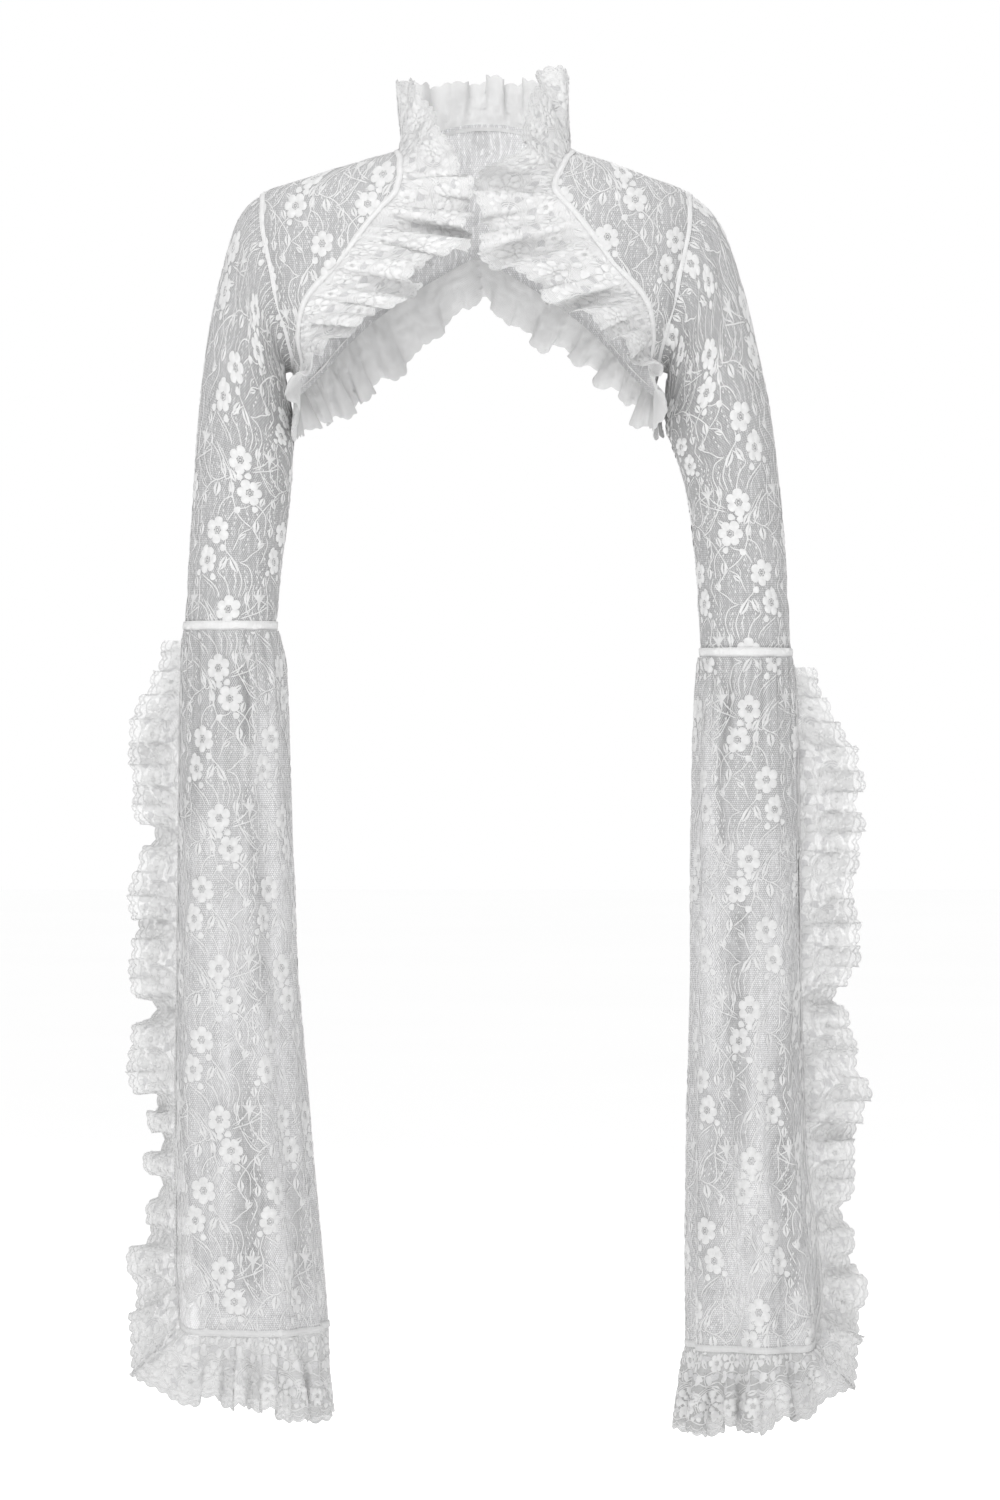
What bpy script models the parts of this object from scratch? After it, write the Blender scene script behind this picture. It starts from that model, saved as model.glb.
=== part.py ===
"""Lace bolero jacket with slit bell sleeves, in its hollow, worn form.

Metres, +Z up, front towards -Y, the wearer's right at -X. The origin lies between the two
neck points of the shoulder seams, where the wearer's shoulders carry the jacket. Tables give
a distance below the origin as drop and a distance from the centre plane as out.
"""

from bisect import bisect_right
from collections import namedtuple
from math import acos, cos, pi, radians, sin

import bpy
from mathutils import Vector

# Cloth
WALL = 0.0012
SEAM_INSET = 0.0005
FRONT_EDGE_INSET = 0.0008
RUFFLE_INSET = 0.0015
UNDERARM_INSET = 0.0011
RUFFLE_JOIN = 0.0001

# Body cut
ROUNDNESS = 2.3
SHOULDER_TIP_DROP = 0.041
UNDERARM_DROP = 0.192
SIDE_HEM_DROP = 0.214
BACK_NECK_RISE = 0.026
BACK_HEM_DROP = 0.0875
BACK_HEM_CURVE = 1.12
ARMHOLE_BITE = 0.10
ARMHOLE_ROUNDING = 1.5
ARMHOLE_FADE = 0.09
ARMHOLE_CROWDING = 1.6

# Half loop of the body ruffle: neck, front edge and hem, each by its seam length
NECK_RUN = 0.105
FRONT_RUN = 0.330
HEM_RUN = 0.220
LOOP_RUN = NECK_RUN + FRONT_RUN + HEM_RUN
BODY_WAVE = 0.030

# Sleeves and bells
ELBOW_BAND_HEIGHT = 0.008
BELL_SEAM_GAP = 0.0004
GATHERS = 9
BELL_WAVES = 44
BELL_SWELL = 0.0095
BELL_TAPER = 0.06
BELL_TAPER_START = 0.35
SLIT_SHARE = 0.33
BELL_RUFFLE_START = 0.005
EDGE_STEP = 0.004

# Mesh fineness
ARMHOLE_STEPS = 8
FRONT_STEPS = 6
BACK_STEPS = 8
SHOULDER_STEPS = 3
UPPER_SLEEVE_RINGS = 10
LOWER_SLEEVE_RINGS = 4
BELL_COLUMNS = 36
BELL_ROWS = 16
COLUMNS_PER_WAVE = 5
RUFFLE_ROWS = 2

BodyLevel = namedtuple("BodyLevel", "drop half_width front back")
BODY = (
    BodyLevel(drop=-0.030, half_width=0.0720, front=0.050, back=0.058),
    BodyLevel(drop=-0.022, half_width=0.0720, front=0.052, back=0.062),
    BodyLevel(drop=0.000, half_width=0.0720, front=0.058, back=0.070),
    BodyLevel(drop=0.012, half_width=0.1060, front=0.064, back=0.077),
    BodyLevel(drop=0.026, half_width=0.1470, front=0.072, back=0.086),
    BodyLevel(drop=0.041, half_width=0.1850, front=0.080, back=0.094),
    BodyLevel(drop=0.079, half_width=0.1980, front=0.098, back=0.103),
    BodyLevel(drop=0.123, half_width=0.1920, front=0.112, back=0.106),
    BodyLevel(drop=0.166, half_width=0.1730, front=0.116, back=0.105),
    BodyLevel(drop=0.192, half_width=0.1590, front=0.114, back=0.103),
    BodyLevel(drop=0.214, half_width=0.1545, front=0.110, back=0.101),
    BodyLevel(drop=0.260, half_width=0.1540, front=0.106, back=0.100),
)

# Seam between a front panel and its ruffle, from the neck point to the side seam; its angle, in
# degrees, goes round the body form from the side
SeamPlace = namedtuple("SeamPlace", "share angle drop")
FRONT_SEAM = (
    SeamPlace(share=0.00, angle=0.0, drop=0.000),
    SeamPlace(share=0.14, angle=52.0, drop=0.012),
    SeamPlace(share=0.27, angle=72.3, drop=0.041),
    SeamPlace(share=0.34, angle=68.9, drop=0.058),
    SeamPlace(share=0.51, angle=58.1, drop=0.101),
    SeamPlace(share=0.66, angle=41.0, drop=0.140),
    SeamPlace(share=0.78, angle=29.5, drop=0.172),
    SeamPlace(share=0.88, angle=21.5, drop=0.196),
    SeamPlace(share=1.00, angle=0.0, drop=0.214),
)

# Free edge of the body ruffle along its half loop, where it lies when worn, and its wave height
RuffleStation = namedtuple("RuffleStation", "run out back drop swell")
BODY_RUFFLE = {
    "right": (
        RuffleStation(0.000, -0.0010, 0.092, -0.0660, 0.0060),
        RuffleStation(0.055, 0.0570, 0.062, -0.0580, 0.0060),
        RuffleStation(0.105, 0.0720, -0.006, -0.0545, 0.0055),
        RuffleStation(0.125, 0.0600, -0.038, -0.0470, 0.0055),
        RuffleStation(0.140, 0.0470, -0.072, -0.0320, 0.0050),
        RuffleStation(0.152, 0.0380, -0.089, -0.0090, 0.0050),
        RuffleStation(0.163, 0.0270, -0.096, 0.0080, 0.0050),
        RuffleStation(0.174, 0.0260, -0.098, 0.0200, 0.0050),
        RuffleStation(0.185, 0.0115, -0.090, 0.0350, 0.0060),
        RuffleStation(0.197, 0.0032, -0.088, 0.0510, 0.0070),
        RuffleStation(0.215, 0.0075, -0.096, 0.0700, 0.0080),
        RuffleStation(0.235, 0.0120, -0.102, 0.0870, 0.0085),
        RuffleStation(0.255, 0.0300, -0.106, 0.1010, 0.0085),
        RuffleStation(0.272, 0.0500, -0.118, 0.1120, 0.0085),
        RuffleStation(0.290, 0.0530, -0.108, 0.1260, 0.0070),
        RuffleStation(0.310, 0.0700, -0.104, 0.1400, 0.0060),
        RuffleStation(0.330, 0.0880, -0.110, 0.1510, 0.0055),
        RuffleStation(0.345, 0.1040, -0.110, 0.1600, 0.0055),
        RuffleStation(0.360, 0.1210, -0.104, 0.1720, 0.0055),
        RuffleStation(0.380, 0.1400, -0.104, 0.1900, 0.0050),
        RuffleStation(0.410, 0.1570, -0.072, 0.2250, 0.0040),
        RuffleStation(0.435, 0.1540, -0.012, 0.2510, 0.0035),
        RuffleStation(0.455, 0.1480, 0.036, 0.2420, 0.0050),
        RuffleStation(0.490, 0.1360, 0.089, 0.2330, 0.0060),
        RuffleStation(0.515, 0.1270, 0.104, 0.2320, 0.0065),
        RuffleStation(0.535, 0.1150, 0.115, 0.2220, 0.0065),
        RuffleStation(0.555, 0.1020, 0.118, 0.2150, 0.0065),
        RuffleStation(0.575, 0.0850, 0.131, 0.1970, 0.0065),
        RuffleStation(0.595, 0.0670, 0.137, 0.1820, 0.0065),
        RuffleStation(0.615, 0.0470, 0.145, 0.1630, 0.0065),
        RuffleStation(0.635, 0.0250, 0.147, 0.1460, 0.0065),
        RuffleStation(0.655, -0.0030, 0.155, 0.1160, 0.0060),
    ),
    "left": (
        RuffleStation(0.000, 0.0010, 0.092, -0.0660, 0.0060),
        RuffleStation(0.055, 0.0560, 0.062, -0.0620, 0.0060),
        RuffleStation(0.105, 0.0680, -0.006, -0.0600, 0.0055),
        RuffleStation(0.125, 0.0540, -0.040, -0.0600, 0.0055),
        RuffleStation(0.140, 0.0400, -0.056, -0.0430, 0.0055),
        RuffleStation(0.150, 0.0360, -0.082, -0.0250, 0.0050),
        RuffleStation(0.160, 0.0310, -0.097, -0.0050, 0.0050),
        RuffleStation(0.170, 0.0330, -0.104, 0.0110, 0.0050),
        RuffleStation(0.180, 0.0140, -0.092, 0.0220, 0.0055),
        RuffleStation(0.190, 0.0055, -0.087, 0.0380, 0.0065),
        RuffleStation(0.200, 0.0032, -0.088, 0.0510, 0.0070),
        RuffleStation(0.215, 0.0065, -0.096, 0.0730, 0.0080),
        RuffleStation(0.235, 0.0105, -0.103, 0.0920, 0.0085),
        RuffleStation(0.255, 0.0270, -0.107, 0.1120, 0.0085),
        RuffleStation(0.272, 0.0530, -0.117, 0.1250, 0.0085),
        RuffleStation(0.290, 0.0580, -0.110, 0.1330, 0.0085),
        RuffleStation(0.310, 0.0750, -0.106, 0.1420, 0.0085),
        RuffleStation(0.330, 0.1060, -0.112, 0.1600, 0.0080),
        RuffleStation(0.345, 0.1190, -0.113, 0.1720, 0.0075),
        RuffleStation(0.360, 0.1360, -0.103, 0.1860, 0.0065),
        RuffleStation(0.380, 0.1520, -0.104, 0.1960, 0.0050),
        RuffleStation(0.410, 0.1570, -0.080, 0.2160, 0.0045),
        RuffleStation(0.435, 0.1590, -0.014, 0.2490, 0.0035),
        RuffleStation(0.455, 0.1530, 0.034, 0.2400, 0.0040),
        RuffleStation(0.490, 0.1420, 0.092, 0.2310, 0.0060),
        RuffleStation(0.515, 0.1330, 0.112, 0.2140, 0.0065),
        RuffleStation(0.535, 0.1210, 0.124, 0.2030, 0.0065),
        RuffleStation(0.555, 0.1050, 0.133, 0.1900, 0.0065),
        RuffleStation(0.575, 0.0880, 0.141, 0.1760, 0.0065),
        RuffleStation(0.595, 0.0700, 0.147, 0.1640, 0.0065),
        RuffleStation(0.615, 0.0500, 0.149, 0.1560, 0.0065),
        RuffleStation(0.635, 0.0270, 0.150, 0.1410, 0.0065),
        RuffleStation(0.655, 0.0030, 0.155, 0.1160, 0.0060),
    ),
}
# The neck sits a little to the wearer's left of the shoulders' middle
NECK_SHIFT = 0.008
NECK_SHIFT_DROP = 0.045

# Rings of each arm, by the distance along it from the armhole
ArmRing = namedtuple("ArmRing", "reach outer_out outer_drop inner_out inner_drop half_depth back")
ARMS = {
    "right": (
        ArmRing(0.000, 0.1850, 0.041, 0.1590, 0.192, 0.0530, 0.000),
        ArmRing(0.012, 0.1970, 0.050, 0.1665, 0.195, 0.0540, 0.000),
        ArmRing(0.030, 0.2085, 0.068, 0.1672, 0.206, 0.0545, 0.000),
        ArmRing(0.060, 0.2190, 0.104, 0.1640, 0.222, 0.0540, 0.000),
        ArmRing(0.105, 0.2300, 0.157, 0.1600, 0.240, 0.0510, 0.000),
        ArmRing(0.160, 0.2390, 0.226, 0.1585, 0.266, 0.0470, 0.000),
        ArmRing(0.225, 0.2440, 0.300, 0.1615, 0.310, 0.0440, -0.001),
        ArmRing(0.280, 0.2480, 0.360, 0.1680, 0.362, 0.0415, -0.002),
        ArmRing(0.332, 0.2505, 0.413, 0.1735, 0.413, 0.0395, -0.004),
        ArmRing(0.390, 0.2525, 0.470, 0.1830, 0.470, 0.0360, -0.006),
        ArmRing(0.450, 0.2535, 0.530, 0.1930, 0.530, 0.0330, -0.009),
        ArmRing(0.502, 0.2540, 0.582, 0.2000, 0.582, 0.0300, -0.012),
    ),
    "left": (
        ArmRing(0.000, 0.1850, 0.041, 0.1590, 0.192, 0.0530, 0.000),
        ArmRing(0.012, 0.1980, 0.050, 0.1668, 0.195, 0.0540, 0.000),
        ArmRing(0.030, 0.2120, 0.068, 0.1685, 0.206, 0.0545, 0.000),
        ArmRing(0.060, 0.2260, 0.104, 0.1675, 0.222, 0.0540, 0.000),
        ArmRing(0.105, 0.2400, 0.160, 0.1675, 0.240, 0.0510, 0.000),
        ArmRing(0.170, 0.2550, 0.235, 0.1735, 0.268, 0.0470, 0.000),
        ArmRing(0.237, 0.2635, 0.310, 0.1850, 0.314, 0.0440, -0.001),
        ArmRing(0.300, 0.2685, 0.375, 0.1910, 0.377, 0.0415, -0.002),
        ArmRing(0.360, 0.2710, 0.436, 0.1950, 0.436, 0.0395, -0.004),
        ArmRing(0.414, 0.2730, 0.490, 0.2040, 0.490, 0.0360, -0.006),
        ArmRing(0.469, 0.2750, 0.545, 0.2145, 0.545, 0.0330, -0.009),
        ArmRing(0.520, 0.2770, 0.596, 0.2225, 0.596, 0.0300, -0.012),
    ),
}
ELBOW_REACH = {"right": 0.332, "left": 0.360}

# Sections of each bell, by the share of its length; slit and rear_slit are the angles, in degrees
# from its outer line, at which its front and rear edges lie
BellLevel = namedtuple("BellLevel", "share outer inner front rear back slit rear_slit gather fold")
BELLS = {
    "right": (
        BellLevel(0.00, 0.2530, 0.1712, 0.0420, 0.0420, -0.004, 6.0, 6.0, 0.0010, 0.00),
        BellLevel(0.06, 0.2545, 0.1660, 0.0480, 0.0470, -0.004, 10.0, 12.0, 0.0022, 0.08),
        BellLevel(0.20, 0.2565, 0.1640, 0.0540, 0.0560, -0.003, 13.0, 18.0, 0.0026, 0.25),
        BellLevel(0.45, 0.2585, 0.1600, 0.0620, 0.0680, 0.000, 14.0, 26.0, 0.0012, 0.60),
        BellLevel(0.70, 0.2605, 0.1520, 0.0700, 0.0780, 0.000, 14.0, 36.0, 0.0004, 0.85),
        BellLevel(0.88, 0.2600, 0.1430, 0.0760, 0.0850, 0.000, 14.0, 44.0, 0.0000, 0.95),
        BellLevel(1.00, 0.2610, 0.1370, 0.0800, 0.0900, 0.000, 14.0, 48.0, 0.0000, 1.00),
    ),
    "left": (
        BellLevel(0.00, 0.2735, 0.1927, 0.0420, 0.0420, -0.004, 6.0, 6.0, 0.0010, 0.00),
        BellLevel(0.06, 0.2765, 0.1915, 0.0480, 0.0470, -0.004, 11.0, 12.0, 0.0022, 0.08),
        BellLevel(0.20, 0.2795, 0.1905, 0.0540, 0.0560, -0.003, 15.0, 17.0, 0.0026, 0.25),
        BellLevel(0.45, 0.2815, 0.1900, 0.0620, 0.0680, 0.000, 17.0, 22.0, 0.0012, 0.60),
        BellLevel(0.70, 0.2855, 0.1885, 0.0700, 0.0780, 0.000, 18.0, 27.0, 0.0004, 0.85),
        BellLevel(0.88, 0.2990, 0.1880, 0.0760, 0.0850, 0.000, 20.0, 31.0, 0.0000, 0.95),
        BellLevel(1.00, 0.3040, 0.1890, 0.0800, 0.0900, 0.000, 22.0, 34.0, 0.0000, 1.00),
    ),
}
BELL_TOP = {side: ARMS[side][8].outer_drop + ELBOW_BAND_HEIGHT / 2 for side in ARMS}
BELL_HEM = {"right": 1.020, "left": 1.034}

# Main folds of a bell, in degrees round from the slit over the front; depth is at the hem
Fold = namedtuple("Fold", "angle drift width depth")
FOLDS = {
    "right": (
        Fold(angle=52, drift=-4, width=24, depth=0.010),
        Fold(angle=100, drift=16, width=30, depth=0.014),
        Fold(angle=150, drift=4, width=24, depth=0.009),
        Fold(angle=196, drift=2, width=26, depth=0.012),
        Fold(angle=238, drift=-4, width=24, depth=0.010),
        Fold(angle=282, drift=2, width=30, depth=0.014),
        Fold(angle=324, drift=4, width=22, depth=0.009),
    ),
    "left": (
        Fold(angle=54, drift=2, width=20, depth=0.009),
        Fold(angle=94, drift=-4, width=24, depth=0.012),
        Fold(angle=128, drift=10, width=26, depth=0.014),
        Fold(angle=176, drift=2, width=24, depth=0.008),
        Fold(angle=222, drift=-4, width=28, depth=0.012),
        Fold(angle=270, drift=4, width=28, depth=0.013),
        Fold(angle=316, drift=2, width=24, depth=0.010),
    ),
}
# Rounded corners of a bell's hem, as shares of its length and of its way round
BellCorner = namedtuple("BellCorner", "rise width")
BELL_CORNERS = {"right": BellCorner(rise=0.090, width=0.14), "left": BellCorner(rise=0.075, width=0.13)}

# A bell's ruffle along its free edge, down the front slit, round the hem and up the rear slit: how
# far it stands out from the bell's own surface, in degrees, its reach and its seam's inset
BellEdge = namedtuple("BellEdge", "share turn reach inset")
BELL_EDGES = {
    "right": (
        BellEdge(0.000, 60, 0.042, 0.0015),
        BellEdge(0.023, 60, 0.042, 0.0015),
        BellEdge(0.045, 76, 0.043, 0.0015),
        BellEdge(0.070, 72, 0.041, 0.0015),
        BellEdge(0.088, 60, 0.038, 0.0015),
        BellEdge(0.108, 30, 0.034, 0.0015),
        BellEdge(0.137, 72, 0.040, 0.0015),
        BellEdge(0.150, 52, 0.037, 0.0015),
        BellEdge(0.171, 72, 0.040, 0.0015),
        BellEdge(0.196, 30, 0.034, 0.0015),
        BellEdge(0.212, 66, 0.039, 0.0015),
        BellEdge(0.227, 62, 0.040, 0.0015),
        BellEdge(0.242, 26, 0.036, 0.0015),
        BellEdge(0.260, 12, 0.036, 0.0019),
        BellEdge(0.295, 14, 0.038, 0.0021),
        BellEdge(0.318, 28, 0.042, 0.0021),
        BellEdge(0.340, 42, 0.046, 0.0015),
        BellEdge(0.370, 30, 0.055, 0.0015),
        BellEdge(0.410, 12, 0.057, 0.0011),
        BellEdge(0.450, 3, 0.066, 0.0011),
        BellEdge(0.490, -2, 0.072, 0.0011),
        BellEdge(0.590, 8, 0.070, 0.0011),
        BellEdge(0.630, 40, 0.056, 0.0015),
        BellEdge(0.660, 98, 0.046, 0.0020),
        BellEdge(0.700, 116, 0.042, 0.0020),
        BellEdge(1.000, 116, 0.042, 0.0020),
    ),
    "left": (
        BellEdge(0.000, 60, 0.046, 0.0015),
        BellEdge(0.035, 58, 0.048, 0.0015),
        BellEdge(0.065, 84, 0.053, 0.0015),
        BellEdge(0.096, 78, 0.051, 0.0015),
        BellEdge(0.119, 56, 0.046, 0.0015),
        BellEdge(0.152, 72, 0.049, 0.0015),
        BellEdge(0.180, 28, 0.038, 0.0015),
        BellEdge(0.200, 72, 0.044, 0.0015),
        BellEdge(0.220, 88, 0.055, 0.0015),
        BellEdge(0.235, 80, 0.052, 0.0015),
        BellEdge(0.250, 48, 0.042, 0.0015),
        BellEdge(0.262, 52, 0.042, 0.0019),
        BellEdge(0.280, 26, 0.036, 0.0021),
        BellEdge(0.322, 26, 0.038, 0.0022),
        BellEdge(0.345, 50, 0.040, 0.0019),
        BellEdge(0.375, 34, 0.052, 0.0015),
        BellEdge(0.410, 12, 0.062, 0.0011),
        BellEdge(0.500, -2, 0.068, 0.0011),
        BellEdge(0.590, 10, 0.066, 0.0011),
        BellEdge(0.630, 40, 0.054, 0.0015),
        BellEdge(0.670, 98, 0.048, 0.0020),
        BellEdge(0.710, 115, 0.046, 0.0020),
        BellEdge(1.000, 115, 0.046, 0.0020),
    ),
}

SIGN = {"right": -1, "left": 1}
LACE = (0.90, 0.90, 0.90, 1.0)
LACE_ROUGHNESS = 0.85


def start_scene():
    """Empty the scene and return the collection that holds the jacket."""
    for item in list(bpy.data.objects):
        bpy.data.objects.remove(item)
    jacket = bpy.data.collections.new("bolero_jacket")
    bpy.context.scene.collection.children.link(jacket)
    return jacket


def along(rows, key, column, at):
    """Smooth value of a table's column at a place along its key, with no overshoot."""
    keys = [getattr(row, key) for row in rows]
    values = [getattr(row, column) for row in rows]
    at = min(max(at, keys[0]), keys[-1])
    first = min(max(bisect_right(keys, at) - 1, 0), len(keys) - 2)

    def steepness(index):
        return (values[index + 1] - values[index]) / (keys[index + 1] - keys[index])

    def slope(index):
        if index == 0:
            return steepness(0)
        if index == len(keys) - 1:
            return steepness(index - 1)
        before = steepness(index - 1)
        after = steepness(index)
        if before * after <= 0:
            return 0.0
        return 2 * before * after / (before + after)

    span = keys[first + 1] - keys[first]
    t = (at - keys[first]) / span
    return (
        values[first] * (1 + 2 * t) * (1 - t) ** 2
        + values[first + 1] * (3 - 2 * t) * t * t
        + slope(first) * span * t * (1 - t) ** 2
        + slope(first + 1) * span * (t - 1) * t * t
    )


def ease(value):
    """Smooth step from 0 to 1."""
    value = min(max(value, 0.0), 1.0)
    return value * value * (3 - 2 * value)


def body_point(angle, drop, face):
    """Point of the body form: angle 0 at the side, a right angle at the centre; face -1 front, 1 back."""
    half_width = along(BODY, "drop", "half_width", drop)
    depth = along(BODY, "drop", "front" if face < 0 else "back", drop)
    power = 2 / ROUNDNESS
    across = max(cos(angle), 0.0) ** power
    deep = max(sin(angle), 0.0) ** power
    return Vector((half_width * across, face * depth * deep, -drop))


def armhole_place(turn):
    """Angle and drop on the body form along half an armhole, turn 0 at the shoulder to pi below."""
    drop = SHOULDER_TIP_DROP + (UNDERARM_DROP - SHOULDER_TIP_DROP) * (1 - cos(turn)) / 2
    kept = 1 - ARMHOLE_BITE * max(sin(turn), 0.0) ** ARMHOLE_ROUNDING
    return acos(kept ** (ROUNDNESS / 2)), drop


def front_seam_place(share):
    """Angle and drop of the seam between a front panel and its ruffle."""
    drop = along(FRONT_SEAM, "share", "drop", share)
    return radians(along(FRONT_SEAM, "share", "angle", share)), drop


def back_neck_drop(angle):
    """Drop of the back neck seam, which rises from the neck points to the centre."""
    return -BACK_NECK_RISE * sin(angle) ** 2


def back_hem_drop(angle):
    """Drop of the back's arched hem seam."""
    share = max(cos(angle), 0.0) ** (2 / ROUNDNESS)
    return BACK_HEM_DROP + (SIDE_HEM_DROP - BACK_HEM_DROP) * share**BACK_HEM_CURVE


def drawn(point, towards, distance):
    """The point moved this far towards another."""
    return point + (towards - point).normalized() * distance


def inset(grid, before=0.0, after=0.0, start=0.0, end=0.0):
    """Draw a grid's edge rows and columns back along the cloth, to part it from its neighbours."""
    if before:
        grid[0] = [drawn(p, q, before) for p, q in zip(grid[0], grid[1])]
    if after:
        grid[-1] = [drawn(p, q, after) for p, q in zip(grid[-1], grid[-2])]
    for row in grid:
        if start:
            row[0] = drawn(row[0], row[1], start)
        if end:
            row[-1] = drawn(row[-1], row[-2], end)
    return grid


def mirrored(grid, sign):
    """The grid on the right or left side."""
    return [[Vector((p.x * sign, p.y, p.z)) for p in row] for row in grid]


def front_grid():
    """Front panel, ruled on the body form from its ruffle seam to the armhole."""
    grid = []
    for level in range(ARMHOLE_STEPS + 1):
        share = level / ARMHOLE_STEPS
        seam_angle, seam_drop = front_seam_place(share)
        arm_angle, arm_drop = armhole_place(pi * share)
        row = []
        for step in range(FRONT_STEPS + 1):
            u = step / FRONT_STEPS
            angle = seam_angle + (arm_angle - seam_angle) * u
            row.append(body_point(angle, seam_drop + (arm_drop - seam_drop) * u, -1))
        grid.append(row)
    return inset(grid, before=SEAM_INSET, after=SEAM_INSET, start=FRONT_EDGE_INSET, end=SEAM_INSET)


def back_edge_places():
    """Angles and drops down the back's side: shoulder seam, armhole and side seam."""
    places = [(0.0, SHOULDER_TIP_DROP * n / SHOULDER_STEPS) for n in range(SHOULDER_STEPS)]
    places += [armhole_place(pi * n / ARMHOLE_STEPS) for n in range(ARMHOLE_STEPS + 1)]
    places.append((0.0, SIDE_HEM_DROP))
    return places


def back_grid():
    """Back panel, each row from the left side to the right."""
    grid = []
    for edge_angle, edge_drop in back_edge_places():
        top = back_neck_drop(edge_angle)
        fall = (edge_drop - top) / (back_hem_drop(edge_angle) - top)
        row = []
        for step in range(BACK_STEPS + 1):
            angle = edge_angle + (pi / 2 - edge_angle) * step / BACK_STEPS
            top = back_neck_drop(angle)
            row.append(body_point(angle, top + (back_hem_drop(angle) - top) * fall, 1))
        row[-1].x = 0.0
        grid.append(row + [Vector((-p.x, p.y, p.z)) for p in reversed(row[:-1])])
    return inset(grid, before=SEAM_INSET, after=SEAM_INSET, start=SEAM_INSET, end=SEAM_INSET)


def arm_point(side, reach, turn):
    """Point of a fitted sleeve: turn 0 at its outer line, over the front to pi at its inner line."""
    rings = ARMS[side]

    def at(column):
        return along(rings, "reach", column, reach)

    outer_share = (1 + cos(turn)) / 2
    point = Vector((
        at("inner_out") + (at("outer_out") - at("inner_out")) * outer_share,
        at("back") - at("half_depth") * sin(turn),
        -(at("inner_drop") + (at("outer_drop") - at("inner_drop")) * outer_share),
    ))
    fade = max(1 - reach / ARMHOLE_FADE, 0.0) ** 2
    if fade:
        half_turn = turn if turn <= pi else 2 * pi - turn
        face = -1 if turn <= pi else 1
        angle, drop = armhole_place(half_turn)
        ring = rings[0]
        plain = Vector((
            ring.inner_out + (ring.outer_out - ring.inner_out) * outer_share,
            ring.back - ring.half_depth * sin(turn),
            -(ring.inner_drop + (ring.outer_drop - ring.inner_drop) * outer_share),
        ))
        point += (body_point(angle, drop, face) - plain) * fade
    return point


def arm_grid(side, first, last, rings, crowding=1.0, proud=0.0):
    """Closed rings of a fitted sleeve between two distances along the arm, crowded at the first."""
    turns = [pi * n / ARMHOLE_STEPS for n in range(2 * ARMHOLE_STEPS)]
    grid = []
    for ring in range(rings + 1):
        reach = first + (last - first) * (ring / rings) ** crowding
        row = [arm_point(side, reach, turn) for turn in turns]
        centre = sum(row, Vector()) / len(row)
        grid.append([p + (p - centre).normalized() * proud for p in row])
    return grid


def bell_point(side, share, around, folded=True):
    """Point of a bell: share 0 at the elbow to 1 at the hem, around from the slit over the front."""
    levels = BELLS[side]

    def at(column):
        return along(levels, "share", column, share)

    angle = at("slit") + (360 - at("slit") - at("rear_slit")) * around
    turn = radians(angle)
    half_width = (at("outer") - at("inner")) / 2
    depth = at("front") if sin(turn) >= 0 else at("rear")
    normal = Vector((cos(turn) / half_width, -sin(turn) / depth, 0.0)).normalized()
    middle = (at("outer") + at("inner")) / 2
    drop = BELL_TOP[side] + (BELL_HEM[side] - BELL_TOP[side]) * share
    point = Vector((middle + half_width * cos(turn), at("back") - depth * sin(turn), -drop))
    if folded:
        swell = at("gather") * (0.5 - 0.5 * cos(2 * pi * GATHERS * around))
        for fold in FOLDS[side]:
            away = abs(angle - fold.angle - fold.drift * share) / fold.width
            if away < 1:
                swell += fold.depth * at("fold") * (0.5 + 0.5 * cos(pi * away))
        point += normal * swell
    return point


def bell_bottom(side, around):
    """Share of a bell's length at which its hem lies, with both corners rounded."""
    corner = BELL_CORNERS[side]
    return 1 - corner.rise * max(1 - min(around, 1 - around) / corner.width, 0.0) ** 2


def bell_grid(side):
    """Open bell, from the elbow seam to the rounded hem."""
    grid = []
    for level in range(BELL_ROWS + 1):
        row = []
        for column in range(BELL_COLUMNS + 1):
            around = column / BELL_COLUMNS
            row.append(bell_point(side, bell_bottom(side, around) * level / BELL_ROWS, around))
        grid.append(row)
    return inset(grid, before=BELL_SEAM_GAP)


def loop_base(run):
    """Point of the half loop that the body ruffle is sewn to."""
    if run < NECK_RUN:
        angle = pi / 2 * (1 - run / NECK_RUN)
        return body_point(angle, back_neck_drop(angle), 1)
    if run < NECK_RUN + FRONT_RUN:
        angle, drop = front_seam_place((run - NECK_RUN) / FRONT_RUN)
        return body_point(angle, drop, -1)
    angle = pi / 2 * min((run - NECK_RUN - FRONT_RUN) / HEM_RUN, 1.0)
    return body_point(angle, back_hem_drop(angle), 1)


def body_ruffle_place(signed_run):
    """Base, direction, reach and wave height of the body ruffle; negative on the right."""
    side = "right" if signed_run < 0 else "left"
    run = abs(signed_run)

    def at(column):
        return along(BODY_RUFFLE[side], "run", column, run)

    base = loop_base(run)
    base.x *= SIGN[side]
    width = Vector((at("out") * SIGN[side], at("back"), -at("drop"))) - base
    away = width.normalized()
    return base + away * RUFFLE_INSET, away, width.length - RUFFLE_INSET, at("swell")


def bell_edge_place(side, share):
    """Around and share of length along a bell's free edge: front slit, hem, back slit."""
    corner = bell_bottom(side, 0.0)
    if share < SLIT_SHARE:
        return 0.0, corner * share / SLIT_SHARE
    if share > 1 - SLIT_SHARE:
        return 1.0, corner * (1 - share) / SLIT_SHARE
    around = (share - SLIT_SHARE) / (1 - 2 * SLIT_SHARE)
    return around, bell_bottom(side, around)


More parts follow.
